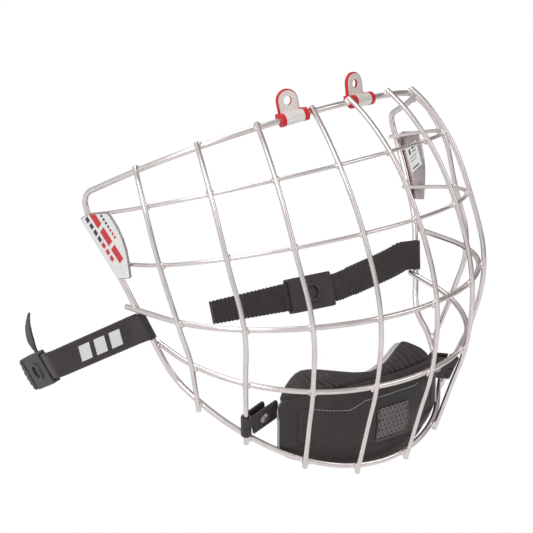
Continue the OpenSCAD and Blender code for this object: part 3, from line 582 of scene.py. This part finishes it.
def print_bars():
    """Thin bars just above the webbing's outer layer, a grid of three by three points on each face."""
    verts, faces = [], []
    outer = LAYER + WEB / 2
    for x0, x1 in PRINT_BARS:
        start = len(verts)
        for z in (outer - 0.02, outer + PRINT_RISE):
            for y in (-PRINT_HALF, 0.0, PRINT_HALF):
                for x in (x0, (x0 + x1) / 2, x1):
                    verts.append(Vector((x + PRINT_SLANT * y, y + DROP * left_slope(x), z)))
        for row in range(2):
            for column in range(2):
                a = start + 9 + row * 3 + column
                faces += [(a, a + 1, a + 4, a + 3), (a - 9, a - 6, a - 5, a - 8)]
        rim = [0, 1, 2, 5, 8, 7, 6, 3]
        for a, b in zip(rim, rim[1:] + rim[:1]):
            faces.append((start + a, start + b, start + b + 9, start + a + 9))
    verts = [(strap_left @ v) * MM for v in verts]
    return make_mesh("strap_print_left", verts, faces, "strap_left", print_grey)


print_bars()


# Ribbed tails

PITCH = 2.5
TAIL_LEN = 46
TAIL_STEP = 0.3


def ribbing(run):
    """1 on a rib, a half on its shoulders and 0 between two ribs."""
    k = (run / PITCH) % 1.0
    return 1.0 if 0.25 < k < 0.6 else (0.5 if 0.15 < k < 0.7 else 0.0)


tail_right_at = strap_right_plain @ shift(RIGHT_END[0], RIGHT_END[1], 0) @ rotation(RIGHT_TURN, "Z")
stations = []
x = 0.1
while x <= TAIL_LEN:
    stations.append(((x, 0, 0), (0, 1, 0), (0, 0, 1), 7.1 - 1.3 * x / TAIL_LEN))
    x += TAIL_STEP
band("strap_ribs_right", stations, lambda run: 1.2 + 0.75 * ribbing(run), "strap_right",
     tail_web, ["strap_tail_right"], MIRROR @ tail_right_at, lambda run: 0.33 * ribbing(run))

# The left tail is folded to a block with a wavy end, and a leaf of it stands up behind.
BLOCK_OUTLINE = [(0, -8.5), (2.5, -9), (5, -7.5), (4, -6), (6, -4.5), (5, -3), (7, -1.2), (5.6, 0.3),
                 (7, 2), (5.4, 3.4), (6.6, 5), (4.8, 6.4), (5.6, 8), (3, 9), (0, 8.5)]
BLOCK_LAYERS = [(-1.58, 0.35), (-1.35, 0.05), (-0.75, 0.0), (-0.58, 0.4), (-0.42, 0.0), (0.42, 0.0),
                (0.58, 0.4), (0.75, 0.0), (1.35, 0.05), (1.58, 0.35)]
rings = []
for z, inset in BLOCK_LAYERS:
    rings.append([Vector((max(0.0, x - inset * (1 if x > 2 else 0)), y * (1 - inset / 9), z))
                  for x, y in BLOCK_OUTLINE])
verts, faces = skin(rings)
block_at = left_end @ shift(END_LEN + 0.05, 0, 0)
make_mesh("strap_block_left", [(block_at @ v) * MM for v in verts], faces, "strap_left",
          tail_web, ["strap_tail_left"], [(v[0] * MM, v[1] * MM) for v in verts])

# The leaf's plan: its y, and its two sides there
LEAF_PLAN = [(-7.0, 0.9, 4.0), (-8.5, 0.6, 4.2), (-15, -3.0, 7.6), (-18, -2.9, 7.5), (-20, -2.6, 7.2),
             (-22, -1.7, 7.0), (-28.4, 1.6, 3.2)]
LEAF_FOOT = [((2.4, -7.8, -0.9), (0, -1, 0), 1.9), ((2.4, -7.8, -3.5), (0, -1, 0), 1.9),
             ((2.4, -7.8, -6.5), (0, -1, 0), 1.8), ((2.4, -7.95, -8.2), (0, -0.97, -0.2), 1.7)]
LEAF_ARC = ((-10.1, -34.2), 25.0, 85.5, 135.5, 90)
LEAF_STEP = 0.25


def leaf_sides(y):
    for (y0, low0, high0), (y1, low1, high1) in zip(LEAF_PLAN, LEAF_PLAN[1:]):
        if y0 >= y >= y1:
            k = (y0 - y) / (y0 - y1)
            return low0 + (low1 - low0) * k, high0 + (high1 - high0) * k
    return LEAF_PLAN[0][1:] if y > LEAF_PLAN[0][0] else LEAF_PLAN[-1][1:]


leaf = list(LEAF_FOOT)
for y, z, g in arc_points(*LEAF_ARC):
    low, high = leaf_sides(y)
    leaf.append((((low + high) / 2, y, z), (0, cos_deg(g), sin_deg(g)), (high - low) / 2))
fine_leaf = []
for (c0, n0, h0), (c1, n1, h1) in zip(leaf, leaf[1:]):
    count = max(1, int((Vector(c1) - Vector(c0)).length / LEAF_STEP))
    for k in range(count):
        t = k / count
        fine_leaf.append((Vector(c0).lerp(Vector(c1), t), (1, 0, 0), Vector(n0).lerp(Vector(n1), t),
                          h0 + (h1 - h0) * t))
fine_leaf.append((leaf[-1][0], (1, 0, 0), leaf[-1][1], leaf[-1][2]))
band("strap_leaf_left", fine_leaf, lambda run: 0.95 + 0.12 * ribbing(run), "strap_left",
     tail_web, (), block_at)


# Chin cup. Points are given by x, the height h over its floor and the distance r from its upright axis.

CUP_BACK = 4.0
CUP_FLOOR = -163.5
CUP_R = 84.0
DRAW_IN_R = 76.0


def cup_point(x, h, r, full=DRAW_IN_R):
    """Nearer the axis than the full radius, x draws in, so that ends are cut radially there."""
    g = asin(max(-0.99, min(0.99, x * min(1.0, r / full) / r)))
    return Vector((r * sin(g), CUP_BACK - r * cos(g), CUP_FLOOR + h))


def along_line(points, t):
    """Point at the share t of a broken line of pairs."""
    lengths = [dist(a, b) for a, b in zip(points, points[1:])]
    left = t * sum(lengths)
    for a, b, length in zip(points, points[1:], lengths):
        if left <= length or b is points[-1]:
            k = min(1.0, left / length)
            return (a[0] + (b[0] - a[0]) * k, a[1] + (b[1] - a[1]) * k)
        left -= length


def eased_line(points, t, reach):
    """The same with its corners rounded: the mean of five points about it."""
    if t < reach or t > 1 - reach:
        return along_line(points, t)
    near = [along_line(points, t + reach * k) for k in (-1, -0.5, 0, 0.5, 1)]
    return (sum(p[0] for p in near) / 5, sum(p[1] for p in near) / 5)


def between(table, key):
    """The value at a key between the rows of a table, and the end rows' values past them."""
    if key <= table[0][0]:
        return table[0][1]
    for (a, low), (b, high) in zip(table, table[1:]):
        if key <= b:
            return low + (high - low) * (key - a) / (b - a)
    return table[-1][1]


def by_height(line):
    """A profile of (r, h) as a table from h to r."""
    return sorted((h, r) for r, h in line)


def smooth_step(v):
    v = max(0.0, min(1.0, v))
    return v * v * (3 - 2 * v)


def wall(name, front, back, materials, replaces=(), back_part=0, rim_part=None, rim=4):
    """A closed wall between two grids of points, with its rim in strips. The parts say which of the
    materials the back and the rim take."""
    n = len(front[0])
    last_i, last_j = len(front) - 1, n - 1
    verts = [p for column in front for p in column] + [p for column in back for p in column]
    base = n * len(front)
    faces, parts = [], []
    for i in range(last_i):
        for j in range(last_j):
            a = i * n + j
            b = base + a
            faces += [(a, a + n, a + n + 1, a + 1), (b, b + 1, b + n + 1, b + n)]
            parts += [0, back_part]
    loop = ([(i, 0) for i in range(last_i)] + [(last_i, j) for j in range(last_j)]
            + [(i, last_j) for i in range(last_i, 0, -1)] + [(0, j) for j in range(last_j, 0, -1)])
    rings = [[i * n + j for i, j in loop]]
    for strip in range(1, rim):
        start = len(verts)
        verts += [front[i][j].lerp(back[i][j], strip / rim) for i, j in loop]
        rings.append([start + k for k in range(len(loop))])
    rings.append([base + i * n + j for i, j in loop])
    for strip in range(rim):
        outer, inner = rings[strip], rings[strip + 1]
        for k in range(len(loop)):
            after = (k + 1) % len(loop)
            faces.append((outer[k], outer[after], inner[after], inner[k]))
            parts.append(rim_part(strip, loop[k], loop[after]) if rim_part else 0)
    piece = make_mesh(name, [v * MM for v in verts], faces, "cage", materials[0], replaces)
    for extra in materials[1:]:
        piece.data.materials.append(extra)
    if len(piece.data.polygons) == len(parts):
        for face, part in zip(piece.data.polygons, parts):
            face.material_index = part
    return piece


def cup_grid(line, half, across, up, reach=0.02, relief=None, full=DRAW_IN_R):
    """Points over a profile of (r, h), from side to side, sunk by the relief."""
    grid = []
    for i in range(across + 1):
        column = []
        for j in range(up + 1):
            r, h = eased_line(line, j / up, reach)
            x = (-1 + 2 * i / across) * half(h)
            column.append(cup_point(x, h, r - (relief(x, h) if relief else 0.0), full))
        grid.append(column)
    return grid


# The shell: its half width by height, and the profiles of its outer and inner faces as (r, h)
SHELL_HALF = [(-4.8, 8), (-3.4, 14), (-2, 20), (0.6, 27.6), (3.2, 35), (5.8, 40), (8.5, 44.7), (11, 48),
              (14, 51), (17, 51.9), (19, 52), (33, 52), (35.5, 51.7), (38, 50.7), (40.6, 48.9)]
SHELL_OUT = [(52, -4.55), (66, -4.55), (70.45, -3), (72.25, 1), (74.5, 6.5), (80.6, 17), (84, 30),
             (84, 40.47)]
SHELL_IN = [(52, 1.95), (64.5, 2.95), (72.6, 7.5), (78.7, 17.6), (82, 30.3), (82, 40.47)]


def shell_half(h):
    return between(SHELL_HALF, h)


def frame_line(x, h):
    """Distance from the rounded frame moulded either side of the middle."""
    dx, dz = abs(abs(x) - 25.0) - 15.0, abs(h - 23.8) - 5.8
    return hypot(max(dx, 0), max(dz, 0)) + min(max(dx, dz), 0) - 4


def hollow(distance, width):
    """The rounded section of a groove."""
    return exp(-(distance / width) ** 2)


def groove(x, h):
    """Depth of the moulded grooves and steps on the front of the shell."""
    d = frame_line(x, h)
    frame_end = 0.75 * hollow(d, 0.8) + 0.3 * (1 - smooth_step((d + 0.6) / 1.2))
    foot_line = 0.5 * hollow(h - 6.6, 0.8)
    brim_line = 0.35 * hollow(h - 38.6, 0.6) * smooth_step((48 - abs(x)) / 4)
    side_roll = 0.7 * hollow(shell_half(h) - abs(x), 1.1)
    return frame_end * smooth_step((abs(x) - 33) / 5) + foot_line + brim_line + side_roll


detail = 2.6
shell_across, shell_up = int(90 * detail), int(44 * detail)


def shell_rim(strip, a, b):
    """The pale foam shows in the middle of the rim up the two sides."""
    return 1 if strip in (1, 2) and a[0] == b[0] and a[1] > shell_up * 0.3 else 0


wall("cup_front", cup_grid(SHELL_OUT, shell_half, shell_across, shell_up, 0.02, groove),
     cup_grid(SHELL_IN, shell_half, shell_across, shell_up), [shell_plastic, edge_foam],
     ["cup_shell"], rim_part=shell_rim)

# The collar: the height of its wings by x, and its two faces
WING_MOST = 53.4
WING = [(0, 44.4), (4, 44.9), (11, 46.3), (20, 49.0), (28, 51.3), (34, 52.6), (38, 52.9), (41, 52.0),
        (44, 50.0), (46.5, 47.6), (48.6, 45.0), (50.4, 41.6)]
COLLAR_HALF = 50.4
COLLAR_FOOT = 40.52
COLLAR_OUT = by_height([(83.4, 40.8), (83.4, 43), (81.8, 47), (78.8, 50.5), (76.8, 53.6)])
COLLAR_IN = by_height([(77.6, 40.8), (77.6, 43), (75.8, 48), (73.6, 53.6)])


def wing_top(x):
    return min(between(WING, abs(x)), WING_MOST)


# The collar's ribs, each from (x, h) to (x, h)
RIBS_LEFT = [(-38.3, 51.4, -35.3, 44.4), (-35.0, 49.9, -30.6, 43.2), (-31.7, 48.2, -25.7, 42.0),
             (-28.8, 48.0, -22.2, 42.0), (-25.6, 47.8, -19.0, 41.8)]
RIBS_RIGHT = [(11.2, 44.2, 12.4, 41.8), (15.2, 45.8, 16.6, 41.8), (19.1, 46.8, 20.5, 41.8),
              (24.2, 48.0, 25.6, 41.9), (29.3, 49.3, 31.1, 41.9), (33.4, 50.2, 36.2, 42.2),
              (37.4, 50.6, 41.5, 43.0)]
RIB_HALF = 1.25
RIB_FLANK = 0.5
RIB_RISE = 0.95


def ribs(x, h):
    """Slanting bars moulded on the outside of the collar."""
    rise = 0.0
    for x0, h0, x1, h1 in RIBS_LEFT + RIBS_RIGHT:
        along = Vector((x1 - x0, h1 - h0))
        k = max(0.0, min(1.0, Vector((x - x0, h - h0)).dot(along) / along.length_squared))
        d = dist((x, h), (x0 + along[0] * k, h0 + along[1] * k))
        rise = max(rise, smooth_step((RIB_HALF - d) / RIB_FLANK))
    return RIB_RISE * rise


def collar_grid(table, outside, across, up):
    """One face of the collar, its top edge rolled towards the middle of the foam."""
    grid = []
    for i in range(across + 1):
        x = COLLAR_HALF * (-1 + 2 * i / across)
        top = wing_top(x)
        column = []
        for j in range(up + 1):
            t = j / up
            h = COLLAR_FOOT + (top - COLLAR_FOOT) * t
            roll = max(0.0, (t - 0.8) / 0.2)
            ease = 0.9 * (1 - sqrt(max(0.0, 1 - roll * roll)))
            r = between(table, h)
            if outside:
                r += ribs(x, h) - 0.72 - ease
            else:
                r += 0.6 * ease
            column.append(cup_point(x, h, r, CUP_R))
        grid.append(column)
    return grid


collar_across, collar_up = int(110 * detail), int(16 * detail)


def collar_rim(strip, a, b):
    """The pale lining reaches over the top edge."""
    return 1 if strip >= 1 and a[1] == collar_up and b[1] == collar_up else 0


collar = wall("cup_collar_ribbed", collar_grid(COLLAR_OUT, True, collar_across, collar_up),
              collar_grid(COLLAR_IN, False, collar_across, collar_up), [collar_foam, liner_cloth],
              ["cup_collar"], back_part=1, rim_part=collar_rim)

LINER_HALF = 48.6
LINER_FOOT = 40.95
LINER_OUT = by_height([(77.2, 40.9), (77.2, 43), (75.4, 48), (73.1, 53.4)])
LINER_IN = by_height([(75.9, 40.9), (75.9, 43), (74.1, 48), (71.9, 53.4)])


def liner_grid(table, puff, across, up):
    """One face of the lining, with a slight puff between its folds."""
    grid = []
    for i in range(across + 1):
        x = LINER_HALF * (-1 + 2 * i / across)
        top = wing_top(x * COLLAR_HALF / LINER_HALF) - 0.15
        column = []
        for j in range(up + 1):
            t = j / up
            h = LINER_FOOT + (top - LINER_FOOT) * t
            r = between(table, h) - puff * sin(x * 0.9) * sin(t * pi)
            column.append(cup_point(x, h, r, CUP_R))
        grid.append(column)
    return grid


wall("cup_lining", liner_grid(LINER_OUT, 0.0, 110, 12), liner_grid(LINER_IN, 0.12, 110, 12),
     [liner_cloth], ["cup_liner"])

# The pad's two faces as (r, h), its lowest and highest points, and its two sewn channels
PAD_LOW, PAD_HIGH = 2.7, 40.2
CHANNEL_X = 17
PAD_OUT = [(49.7, 2.7), (63.2, 3.5), (72.2, 7.9), (78.3, 17.7), (81.6, 30.3), (81.6, 40.1)]
PAD_IN = [(48.6, 5.2), (59.7, 8.4), (66.3, 12), (70.3, 19), (73.6, 26), (74.2, 33), (75.1, 38.2),
          (79.3, 40.2)]


def pad_half(h):
    return min(47.5, shell_half(h) - 3.5)


SIM_FRAMES = 20


def swell(piece, voxel, pressure, most):
    """Blows a closed piece up with cloth pressure and keeps each point within most of its start."""
    remesh = piece.modifiers.new("even", "REMESH")
    remesh.mode = "VOXEL"
    remesh.voxel_size = voxel
    bpy.context.view_layer.objects.active = piece
    bpy.ops.object.modifier_apply(modifier="even")
    start = [v.co.copy() for v in piece.data.vertices]
    soft = piece.modifiers.new("soft", "CLOTH")
    soft.settings.use_pressure = True
    soft.settings.uniform_pressure_force = pressure
    soft.settings.effector_weights.gravity = 0
    soft.settings.quality = 5
    for number in range(1, SIM_FRAMES + 1):
        bpy.context.scene.frame_set(number)
    bpy.ops.object.modifier_apply(modifier="soft")
    bpy.context.scene.frame_set(1)
    for v, was in zip(piece.data.vertices, start):
        move = v.co - was
        if move.length > most:
            v.co = was + move * (most / move.length)


def keep_in_cup(piece):
    """Presses the pad back between the shell and its face side, and sews its two channels."""
    out_table, in_table = by_height(PAD_OUT), by_height(PAD_IN)
    for v in piece.data.vertices:
        x, y, z = (c / MM for c in v.co)
        h = max(PAD_LOW, min(PAD_HIGH, z - CUP_FLOOR))
        r = hypot(x, CUP_BACK - y)
        most, least = between(out_table, h), between(in_table, h)
        if r < (most + least) / 2:
            sewn = sum(2.4 * hollow(x - side * CHANNEL_X, 1.5) for side in (-1, 1))
            r = max(r, least) + sewn * smooth_step((h - 9) / 6) * smooth_step((39 - h) / 3)
        k = min(r, most) / hypot(x, CUP_BACK - y)
        v.co = Vector((x * k, CUP_BACK - (CUP_BACK - y) * k, CUP_FLOOR + h)) * MM


def pad_grid(line, inset):
    """One face of the pad before it swells."""
    return cup_grid([(r + inset, h) for r, h in line], pad_half, 90, 30, 0.04, None, CUP_R)


pad = wall("cup_foam_pad", pad_grid(PAD_OUT, -0.5), pad_grid(PAD_IN, 1.6), [pad_cloth],
           ["cup_pad"])
swell(pad, voxel=2.2 * MM, pressure=3.0, most=1.2 * MM)
keep_in_cup(pad)
pad.data.shade_smooth()
smooth = pad.modifiers.new("soften", "SMOOTH")
smooth.factor = 0.4
smooth.iterations = 2


# A pale welt down each end of the shell and along its foot

WELT_R = 0.42
WELT_TOP = 36.5
WELT_STEP = 0.5
shell_out = by_height(SHELL_OUT)


def welt(name, side):
    """A round cord sewn along the shell's edge, thinner towards its two ends."""
    heights = [WELT_TOP - WELT_STEP * k for k in range(80)]
    points = [cup_point(side * (shell_half(h) + 0.1), h, between(shell_out, h) - 0.9) for h in heights]
    rings = []
    for k, p in enumerate(points):
        way = way_at(points, k)
        flank = way.cross(Vector((0, 0, 1)) if abs(way[2]) < 0.9 else Vector((0, 1, 0))).normalized()
        upward = flank.cross(way)
        radius = WELT_R * (0.3 + 0.7 * smooth_step(min(k, len(points) - 1 - k) / 4))
        rings.append([(p + (flank * cos(g) + upward * sin(g)) * radius) * MM
                      for g in circle(10)])
    verts, faces = skin(rings)
    return make_mesh(name, verts, faces, "cage", edge_foam)


welt("cup_welt_left", -1)
welt("cup_welt_right", 1)


# Patch: a panel of raised grey cells

PATCH_R = [(8.3, 75.85), (12.2, 78.15), (17, 80.85), (26, 83.15)]
PATCH_X, PATCH_WIDE = -2.3, 23.2
PATCH_H, PATCH_HIGH = 8.3, 16.0
CELL_PITCH_X, CELL_PITCH_H = 2.9, 2.5
CELL_FIRST_X, CELL_LAST_X, CELL_FIRST_H = -0.3, 19.3, 10.6
# Each ring of a cell's raised rim: its height over the shell and its radius
CELL_RINGS = [(0.25, 1.5), (0.55, 1.42), (0.6, 1.15), (0.55, 0.86), (0.32, 0.78)]


def on_front(x, h, rise):
    return cup_point(x, h, between(PATCH_R, h) + rise)


def patch_grid(rise):
    return [[on_front(PATCH_X + PATCH_WIDE * i / 30, PATCH_H + PATCH_HIGH * j / 24, rise)
             for j in range(25)] for i in range(31)]


wall("patch_panel", patch_grid(0.3), patch_grid(0.05), [patch_base], ["cup_patch"], rim=2)


def patch_cells():
    """Rings of six sides in rows, each row half a cell on from the last."""
    verts, faces = [], []
    for row in range(6):
        h = CELL_FIRST_H + CELL_PITCH_H * row
        for column in range(7):
            x = CELL_FIRST_X + CELL_PITCH_X * (column + (0.5 if row % 2 else 0.0))
            if x > CELL_LAST_X:
                continue
            start = len(verts)
            for rise, size in CELL_RINGS:
                for k in range(6):
                    g = radians(30 + 60 * k)
                    verts.append(on_front(x + size * cos(g), h + size * sin(g), rise))
            for ring in range(len(CELL_RINGS) - 1):
                for k in range(6):
                    a, b = start + ring * 6 + k, start + ring * 6 + (k + 1) % 6
                    faces.append((a, b, b + 6, a + 6))
            for k in range(6):
                a, b = start + k, start + (k + 1) % 6
                faces.append((a + 24, b + 24, b, a))
    return make_mesh("patch_cells", [v * MM for v in verts], faces, "cage", hex_grey)


patch_cells()


def row_on_shell(points, pitch, rise):
    """Thread marks along a line of (x, h) on the front of the shell."""
    marks = []
    total = sum(dist(a, b) for a, b in zip(points, points[1:]))
    run = pitch / 2
    while run < total:
        here = along_line(points, run / total)
        ahead = along_line(points, min(1.0, (run + 0.5) / total))
        p, q = (cup_point(x, h, between(shell_out, h) + rise) for x, h in (here, ahead))
        marks.append((p, q - p, unit((p[0], p[1] - CUP_BACK, 0))))
        run += pitch
    return marks


SEAM = [(-37, 32.8), (-28.6, 30.0), (-18.4, 27.9), (-13.7, 29.3), (-8.7, 30.8), (-3, 30.6), (5.8, 30.6),
        (14.8, 30.9), (25.4, 30.6), (31, 31.2)]
PATCH_SEAM = [(-2.0, 7.5), (20.6, 7.5)]
stitch_mesh("cup_seam", row_on_shell(SEAM, 1.9, 0.1), "cage", thread_grey, 1.6, 0.27)
stitch_mesh("patch_seam", row_on_shell(PATCH_SEAM, 1.7, 0.1), "cage", thread_grey, 1.3, 0.24)


# Tabs of the chin cup. In a tab's own frame the wire is on the y axis and the tab runs along x.

TAB_X, TAB_Y = Vector((0.957418, -0.0245838, 0.287657)), Vector((0.248251, 0.578748, -0.776802))
tab_left = axes_frame(TAB_X, TAB_Y, TAB_X.cross(TAB_Y), (-68.1124, -54.1051, -131.619))
TAB_HALF = 6.45
TAB_SPLIT = 0.2
TAB_THICK = 1.34
TAB_CORNER = 1.6
TAB_TRIM = 0.1
TAB_R = 1.38 + 0.08 + TAB_THICK / 2
STRIP_REACH, FLAP_REACH = 20.4, 15.0


def tab_band(name, side, low, high, reach, place, body, replaces):
    """A vinyl strip folded round the wire: full height away from it, half height round it."""
    stations = []
    steps = int((reach - 0.2) / 0.35)
    for k in range(steps + 1):
        from_end = (reach - TAB_TRIM) * k / steps
        x = reach - TAB_TRIM - from_end
        widen = smooth_step((x - 2.5) / 0.6)
        y0 = low + (-TAB_HALF - low) * widen
        y1 = high + (TAB_HALF - high) * widen
        corner = max(0.0, TAB_CORNER - from_end)
        cut = TAB_CORNER - sqrt(TAB_CORNER ** 2 - corner ** 2)
        stations.append(((x, (y0 + y1) / 2, side * TAB_R), (0, 1, 0), (0, 0, side), (y1 - y0) / 2 - cut))
    for k in range(1, 34):
        g = side * radians(90 + 352 * k / 33)
        normal = (cos(g), 0, sin(g))
        stations.append(((TAB_R * normal[0], (low + high) / 2, TAB_R * normal[2]), (0, 1, 0), normal,
                         (high - low) / 2))
    return band(name, stations, TAB_THICK, body, vinyl, replaces, place)


for name, place in (("left", tab_left), ("right", MIRROR @ tab_left)):
    tab_band("tab_strip_" + name, -1, -TAB_HALF, -TAB_SPLIT, STRIP_REACH, place, "cage", ["tab_" + name])
    tab_band("tab_back_" + name, 1, TAB_SPLIT, TAB_HALF, FLAP_REACH, place, "flap_" + name,
             ["tab_flap_" + name])
    marks = [((4.6 + 1.9 * k, y, -2.93), (1, 0, 0), (0, 0, -1)) for k in range(7) for y in (-5.3, 5.3)]
    stitch_mesh("tab_stitch_" + name, marks, "cage", thread_black, 1.4, 0.17, place)


# Weld beads where the uprights cross the other wires

TOUCH = 1.2 * MM
APART = 12 * MM
BEAD_REACH, BEAD_RISE = 2.35 * MM, 1.25 * MM


def crossings(name, tree):
    """Where a wire touches another wire's tree of faces: the place and the way across the contact."""
    found = []
    for v in nodes[name].data.vertices:
        near, across, _, gap = tree.find_nearest(v.co, TOUCH)
        if near is None:
            continue
        for k, (best, middle, _) in enumerate(found):
            if (middle - near).length < APART:
                if gap < best:
                    found[k] = (gap, near, across)
                break
        else:
            found.append((gap, near, across))
    return [(near, across) for gap, near, across in found]


def wire_way(name, middle, across):
    """Direction of a wire near a point, square to the way across."""
    near = [v.co - middle for v in nodes[name].data.vertices if (v.co - middle).length < APART]
    flat = [d - across * d.dot(across) for d in near]
    return max(flat, key=lambda d: d.length).normalized()


def bead(middle, across, along):
    """A flattened ball with four uneven lobes, which fill the corners between the two wires."""
    rings = []
    for j in range(9):
        tilt = radians(-80 + 20 * j)
        ring = []
        for turn in circle(24):
            way = along * cos(turn) + along.cross(across) * sin(turn)
            lobe = 0.8 + 0.2 * abs(sin(2 * turn)) + 0.05 * sin(3 * turn + 400 * middle[0])
            reach = BEAD_REACH * lobe * cos(tilt)
            ring.append(middle + way * reach + across * (BEAD_RISE * sin(tilt)))
        rings.append(ring)
    return skin(rings)


other_wires = ["cross_wire_1", "cross_wire_2", "cross_wire_3", "cross_wire_4", "edge_wire"]
trees = {}
for wire in other_wires:
    data = nodes[wire].data
    trees[wire] = BVHTree.FromPolygons([v.co for v in data.vertices], [f.vertices for f in data.polygons])
verts, faces = [], []
for upright in sorted(name for name in nodes if name.startswith("upright_")):
    for wire in other_wires:
        for middle, across in crossings(upright, trees[wire]):
            along = wire_way(upright, middle, across)
            if abs(along.dot(wire_way(wire, middle, across))) > 0.9:
                continue
            bead_verts, bead_faces = bead(middle, across, along)
            faces += [tuple(k + len(verts) for k in face) for face in bead_faces]
            verts += bead_verts
make_mesh("weld_beads", verts, faces, "cage", steel)


# Labels: a film with plain bands in place of print

# The left side plate's directions: along it, down and forward, and across it
PLATE_ALONG = (0.186105, -0.354156, -0.916481)
PLATE_ACROSS = (0.0735405, -0.92514, 0.372435)


def label_copy(node, new_name, bands):
    """The label's own film, laid out again with a flat map so that it can carry a print."""
    source = nodes[node].data
    points = [v.co.copy() for v in source.vertices]
    turn = -1 if sum(p[0] for p in points) > 0 else 1
    maps = []
    for way in (PLATE_ALONG, PLATE_ACROSS):
        shares = [p.dot(Vector((way[0] * turn, way[1], way[2]))) for p in points]
        low, high = min(shares), max(shares)
        maps.append([(share - low) / (high - low) for share in shares])
    faces = [tuple(p.vertices) for p in source.polygons]
    mat = label_print(new_name + "_print", bands)
    return make_mesh(new_name, points, faces, "cage", mat, [node], list(zip(*maps)))


RED = (0.62, 0.02, 0.03, 1)
INK = (0.03, 0.03, 0.035, 1)
PALE = (0.35, 0.34, 0.34, 1)
side_bands = [(0.06 + 0.27 * k, 0.28 + 0.27 * k, 0.38, 0.6, 0.1, RED) for k in range(3)]
for first, pitch, wide, low, high in ((0.05, 0.1, 0.07, 0.16, 0.29), (0.2, 0.055, 0.035, 0.72, 0.8)):
    side_bands += [(first + pitch * k, first + wide + pitch * k, low, high, 0.1, INK if k < 4 else RED)
                   for k in range(7)]
label_copy("side_label_left", "label_film_left", side_bands)
label_copy("side_label_right", "label_film_right", side_bands)
inner_bands = [(0.12, 0.34, 0.2, 0.36, 0.0, INK), (0.12, 0.2, 0.5, 0.85, 0.0, INK),
               (0.28, 0.33, 0.5, 0.85, 0.0, INK), (0.45, 0.5, 0.15, 0.8, 0.0, PALE),
               (0.58, 0.63, 0.15, 0.7, 0.0, PALE), (0.86, 0.92, 0.2, 0.8, 0.0, INK)]
label_copy("inner_label_right", "label_film_inner", inner_bands)


# Camera, light and floor, in metres

PICTURE_PIXELS = 533
FOCAL_PIXELS = 6000
SENSOR = 36
FLOOR_Z = -0.45
FLOOR_R = 1.15
RIGHT = Vector((0.7853647, -0.5872584, -0.1957799))
UP = Vector((0.2144976, -0.0385103, 0.9759650))
BACK = Vector((-0.5806832, -0.8084828, 0.0957208))
camera = new_object("camera", bpy.data.cameras.new("camera"))
camera.matrix_world = axes_frame(RIGHT, UP, BACK, (-1.832827, -2.556283, 0.241356))
camera.data.sensor_width = SENSOR
camera.data.lens = FOCAL_PIXELS * SENSOR / PICTURE_PIXELS
camera.data.clip_end = 30
bpy.context.scene.camera = camera


def lamp(name, where, size, power, target=(0, -0.03, -0.07)):
    """A round soft light turned to the middle of the cage."""
    data = bpy.data.lights.new(name, "AREA")
    data.shape = "DISK"
    data.size = size
    data.energy = power
    made = new_object(name, data)
    made.location = where
    made.rotation_mode = "QUATERNION"
    made.rotation_quaternion = (Vector(target) - Vector(where)).to_track_quat("-Z", "Y")


lamp("key", (-2.1, -1.3, 1.9), 1.5, 30)
lamp("fill", (1.5, -2.2, 0.9), 1.6, 9)
lamp("top", (0.1, 0.4, 2.4), 1.4, 14)


def mixed(tree, factor, first, second):
    made = add(tree, "MixShader", {"Fac": factor})
    tree.links.new(first.outputs[0], made.inputs[1])
    tree.links.new(second.outputs[0], made.inputs[2])
    return made.outputs[0]


# The world is white to the camera, and to the object brighter from the left than from the right.
WHITE = (1, 1, 1, 1)
world = bpy.data.worlds.new("studio")
bpy.context.scene.world = world
world.use_nodes = True
tree = world.node_tree
tree.nodes.clear()
rays = add(tree, "LightPath")
way = add(tree, "SeparateXYZ", {"Vector": add(tree, "TexCoord").outputs["Generated"]}).outputs["X"]
level = spread(tree, way, 0.75, 0.28, (-0.75, 0.75))
soft = add(tree, "Background", {"Color": WHITE, "Strength": level})
white = add(tree, "Background", {"Color": WHITE, "Strength": 1.0})
add(tree, "OutputWorld", {"Surface": mixed(tree, rays.outputs["Is Camera Ray"], soft, white)})

# The floor is pale paper, lifted towards white for the camera so that it keeps only the soft shadow.
floor_mesh = bpy.data.meshes.new("floor")
made = bmesh.new()
bmesh.ops.create_circle(made, cap_ends=True, segments=96, radius=FLOOR_R)
made.to_mesh(floor_mesh)
made.free()
floor = new_object("floor", floor_mesh)
floor.location = (0, 0, FLOOR_Z)
floor_mat, tree, shader = new_material("floor_paper", Roughness=0.9)
where = add(tree, "TexCoord").outputs["Object"]
tree.links.new(ramp(tree, noise(tree, where, 30), [(0.3, grey(0.86)), (0.7, grey(0.88))]),
               shader.inputs["Base Color"])
rays = add(tree, "LightPath")
glow = add(tree, "Emission", {"Color": WHITE, "Strength": 1.0})
lift = times(tree, rays.outputs["Is Camera Ray"], 0.6)
tree.links.new(mixed(tree, lift, shader, glow), tree.nodes["Material Output"].inputs["Surface"])
floor_mesh.materials.append(floor_mat)

bpy.context.scene.view_settings.view_transform = "Standard"
